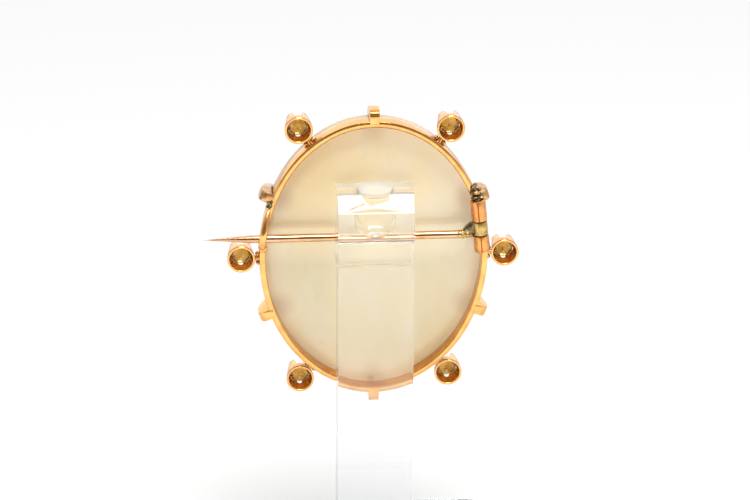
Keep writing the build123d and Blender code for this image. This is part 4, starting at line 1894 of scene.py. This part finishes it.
@dataclass
class Stand(SubAssembly):
    """The clear stand: its bar and base plate, and the clear peg in the drilled hole of its head.

    Heights are in millimetres from the ring's middle.
    """

    oval: Oval
    finish: bpy.types.Material
    glue: bpy.types.Material
    lift: float = 1.15
    glued: tuple[Pair, ...] = ((4.98, 1.50), (6.30, 3.37), (12.08, 3.37))
    glue_line: tuple[Pair, ...] = (
        (5.10, 0.30), (5.60, 0.75), (6.20, 1.45), (6.80, 2.20), (7.50, 2.80), (8.20, 3.15), (8.90, 3.25),
        (9.60, 3.10), (10.2, 2.95), (11.95, 2.90),
    )
    head_top: float = 12.08
    bevel_start: float = 2.825
    sawn_from: float = 12.03
    knob_radius: float = 2.9
    knob_top: float = 12.62
    knob_back: float = 0.2
    glue_inset: float = 0.06
    sides: int = 96

    def build(self) -> list[bpy.types.Object]:
        """Build the bar and base plate in one with the peg, and the glue line between them.

        Returns:
            The pieces.
        """
        filler = self.turned(self.glued, 0.0)
        top, r = self.knob_top, self.knob_radius
        knob = [(self.head_top - 0.3, r), (top - 0.18, r), (top - 0.06, r - 0.05), (top, r - 0.2)]
        foot = self.oval.spot(0, 0, self.knob_back - self.lift)
        filler.revolve(foot, Vector((0, 0, 1)), knob, self.sides)
        bar = bpy.data.objects.new("stand_bar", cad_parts["stand"].data.copy())
        bpy.context.scene.collection.objects.link(bar)
        self.join(bar, filler.make("peg", Body.SUPPORT, sharp=30.0))
        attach(bar, Body.SUPPORT.value)
        self.dress(bar, self.finish, Slot.ACRYLIC)
        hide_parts("stand")
        line = self.turned(self.glue_line, self.glue_inset)
        seam = self.dress(line.make("peg_glue_line", Body.SUPPORT, sharp=50.0), self.glue, Slot.ACRYLIC)
        bar.visible_shadow = seam.visible_shadow = False
        return [bar, seam]

    def join(self, piece: bpy.types.Object, added: bpy.types.Object) -> None:
        """Fuse a solid into a piece, and take the solid's own object away.

        Args:
            piece: the piece that stays.
            added: the solid.
        """
        fuse = piece.modifiers.new("fuse", "BOOLEAN")
        fuse.operation = "UNION"
        fuse.solver = "EXACT"
        fuse.use_self = True
        fuse.object = added
        graph = bpy.context.evaluated_depsgraph_get()
        mesh = bpy.data.meshes.new_from_object(piece.evaluated_get(graph))
        piece.modifiers.clear()
        piece.data = mesh
        bpy.data.objects.remove(added)

    def turned(self, profile: tuple[Pair, ...], inside: float) -> Shape:
        """A turned solid on the hole's axis, cut off at the head's bevel.

        Args:
            profile: its outline as pairs of height and radius.
            inside: how far inside the bevel it is cut.

        Returns:
            The shape.
        """
        axis = self.oval.spot(0, 0, -self.lift)
        solid = Shape()
        solid.revolve(axis, Vector((0, 0, 1)), list(profile), self.sides)
        work = bmesh.new()
        corners = [work.verts.new(p) for p in solid.points]
        for face in solid.faces:
            work.faces.new([corners[i] for i in face])
        corner = axis + Vector((0, self.bevel_start - self.lift, self.head_top))
        way = Vector((0, 1, 1)).normalized()
        cut = bmesh.ops.bisect_plane(work, geom=[*work.verts, *work.edges, *work.faces], dist=1e-5,
                                     plane_co=corner - way * inside, plane_no=way, clear_outer=True)
        edges = [e for e in cut["geom_cut"] if isinstance(e, bmesh.types.BMEdge)]
        bmesh.ops.edgeloop_fill(work, edges=edges)
        work.verts.index_update()
        solid.points = [v.co.copy() for v in work.verts]
        solid.faces = [tuple(v.index for v in f.verts) for f in work.faces]
        work.free()
        return solid


# Studio


@dataclass(frozen=True)
class Studio:
    """The floor, the surroundings, the soft light and the camera.

    The camera's sizes are in millimetres, the floor's and the light's in metres.
    """

    middle_height: float
    azimuth: float = 175.18
    elevation: float = 22.0
    roll: float = 0.40
    distance: float = 515.6
    aim_across: float = -0.165
    aim_up: float = 1.24
    lens: float = 150.0
    film: float = 36.0
    floor_half: float = 3.0
    floor_front: float = 0.30
    floor_drop: float = 0.0002
    floor_colour: Colour = (0.72, 0.72, 0.72)
    floor_glow: float = 0.95
    far_glow: Colour = (0.12, 0.12, 0.12)
    room: float = 0.80
    paper: float = 1.45
    paper_way: Triple = (0.0, -0.94, 0.34)
    paper_edges: Pair = (0.35, 0.80)
    opening: Colour = (0.27, 0.245, 0.225)
    opening_seen: Colour = (0.90, 0.90, 0.905)
    opening_way: Triple = (0.06, 0.97, 0.20)
    opening_edges: Pair = (0.72, 0.93)
    side: Colour = (0.55, 0.55, 0.565)
    side_edges: Pair = (0.60, 0.95)
    box_place: Triple = (-0.053, 0.255, 0.628)
    box_size: float = 0.24
    box_power: float = 2.6

    def build(self) -> None:
        """Everything round the part."""
        self.camera()
        self.floor()
        self.sky()
        self.lights()
        view = bpy.context.scene.view_settings
        view.view_transform = "Standard"
        view.look = "None"

    def back(self) -> Vector:
        """Work out the camera's side.

        Returns:
            The unit direction from the part to the camera.
        """
        turn, rise = math.radians(self.azimuth), math.radians(self.elevation)
        flat = math.cos(rise)
        return Vector((math.sin(turn) * flat, -math.cos(turn) * flat, math.sin(rise)))

    def camera(self) -> None:
        """The camera, at the photograph's angle."""
        back = self.back()
        right = Vector((0, 0, 1)).cross(back).normalized()
        up = back.cross(right)
        tilt = math.radians(self.roll)
        turned_right = right * math.cos(tilt) + up * math.sin(tilt)
        turned_up = up * math.cos(tilt) - right * math.sin(tilt)
        aim = Vector((self.aim_across, 0, self.middle_height + self.aim_up))
        data = bpy.data.cameras.new("camera")
        data.lens = self.lens
        data.sensor_width = self.film
        data.clip_start = 0.01
        camera = bpy.data.objects.new("camera", data)
        place = Matrix((turned_right, turned_up, back)).transposed().to_4x4()
        place.translation = (aim + back * self.distance) * MM
        camera.matrix_world = place
        bpy.context.scene.collection.objects.link(camera)
        bpy.context.scene.camera = camera

    def floor(self) -> None:
        """The pale floor, which ends a little in front of the part, on the camera's side."""
        material, graph = new_material("pale_floor")
        lit = graph.along("Y").stepped(0.0, self.floor_front * 0.5)
        graph.surface({
            "Base Color": (*self.floor_colour, 1.0),
            "Roughness": 0.8,
            "Specular IOR Level": 0.0,
            "Emission Color": graph.blend(lit, self.far_glow, WHITE),
            "Emission Strength": self.floor_glow,
        })
        mesh = bpy.data.meshes.new("floor")
        h, front = self.floor_half, self.floor_front
        mesh.from_pydata([(-h, -h, 0), (h, -h, 0), (h, front, 0), (-h, front, 0)], [], [(0, 1, 2, 3)])
        mesh.materials.append(material)
        floor = bpy.data.objects.new("floor", mesh)
        floor.location.z = -self.floor_drop
        bpy.context.scene.collection.objects.link(floor)

    def sky(self) -> None:
        """White surroundings, as the camera, clear pieces and everything else see them.

        The camera sees plain white. Through clear pieces the sides are darker. Reflections show an
        opening where the photographer stands and brighter paper opposite.
        """
        world = bpy.data.worlds.new("studio")
        world.use_nodes = True
        graph = Graph(world.node_tree)
        way = graph.signal("ShaderNodeTexCoord", "Generated")
        front = tuple(Vector(self.opening_way).normalized())
        opening = graph.toward(way, front).stepped(*self.opening_edges)
        paper = graph.toward(way, self.paper_way).stepped(*self.paper_edges)
        side = (graph.toward(way, (1.0, 0.0, 0.0)) ** 2).stepped(*self.side_edges)
        room = graph.blend(paper, (self.room,) * 3, (self.paper,) * 3)
        room = graph.blend(opening, room, self.opening)
        wall = graph.blend(opening, WHITE, self.opening_seen)
        seen = graph.signal("ShaderNodeLightPath", "Is Camera Ray")
        through = graph.signal("ShaderNodeLightPath", "Is Transmission Ray")
        colour = graph.blend(through, graph.blend(seen, room, wall), graph.blend(side, WHITE, self.side))
        light = graph.signal("ShaderNodeBackground", "Background", None,
                             {"Color": colour, "Strength": 1.0})
        graph.node("ShaderNodeOutputWorld", None, {"Surface": light})
        bpy.context.scene.world = world

    def lights(self) -> None:
        """One large soft light above, a little to the camera's side."""
        middle = Vector((0, 0, self.middle_height * MM))
        place = Vector(self.box_place)
        data = bpy.data.lights.new("soft_box", "AREA")
        data.shape = "SQUARE"
        data.size = self.box_size
        data.energy = self.box_power
        light = bpy.data.objects.new("soft_box", data)
        light.location = middle + place
        light.rotation_euler = place.to_track_quat("Z", "Y").to_euler()
        bpy.context.scene.collection.objects.link(light)


def main() -> None:
    """Build the studio and the sub-assemblies in order, and report each piece."""
    logging.basicConfig(level=logging.INFO, format="%(message)s")
    low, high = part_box("cameo")
    oval = Oval((high.x - low.x) / 2 / MM + Cameo.inset, (high.z - low.z) / 2 / MM + Cameo.inset,
                (high.z + low.z) / 2 / MM)
    Studio(oval.height).build()
    gold, solder = ROSE_GOLD.make(), OLD_SOLDER.make()
    mount = Mount(oval, gold, WORN_GOLD.make())
    hinge = Hinge(oval, TUBE_GOLD.make(), solder, gold)
    stone = Chalcedony(Vector((0, 0, oval.height * MM)), oval.half_width * MM, oval.half_height * MM,
                       mount.shadows()).make()
    groups = (
        mount,
        hinge,
        Catch(oval, gold, solder),
        Collets(oval, gold, GROOVE_SHADE_GOLD.make(), Citrine().make()),
        Pin(hinge, STEM_GOLD.make(), OLIVE_GOLD.make(), solder),
        Cameo(oval, stone),
        Stand(oval, Acrylic(oval.height + Stand.sawn_from).make(), Glue().make()),
    )
    for group in groups:
        for piece in group.build():
            LOG.info("%s: %d faces", piece.name, len(piece.data.polygons))


if __name__ == "__main__":
    main()
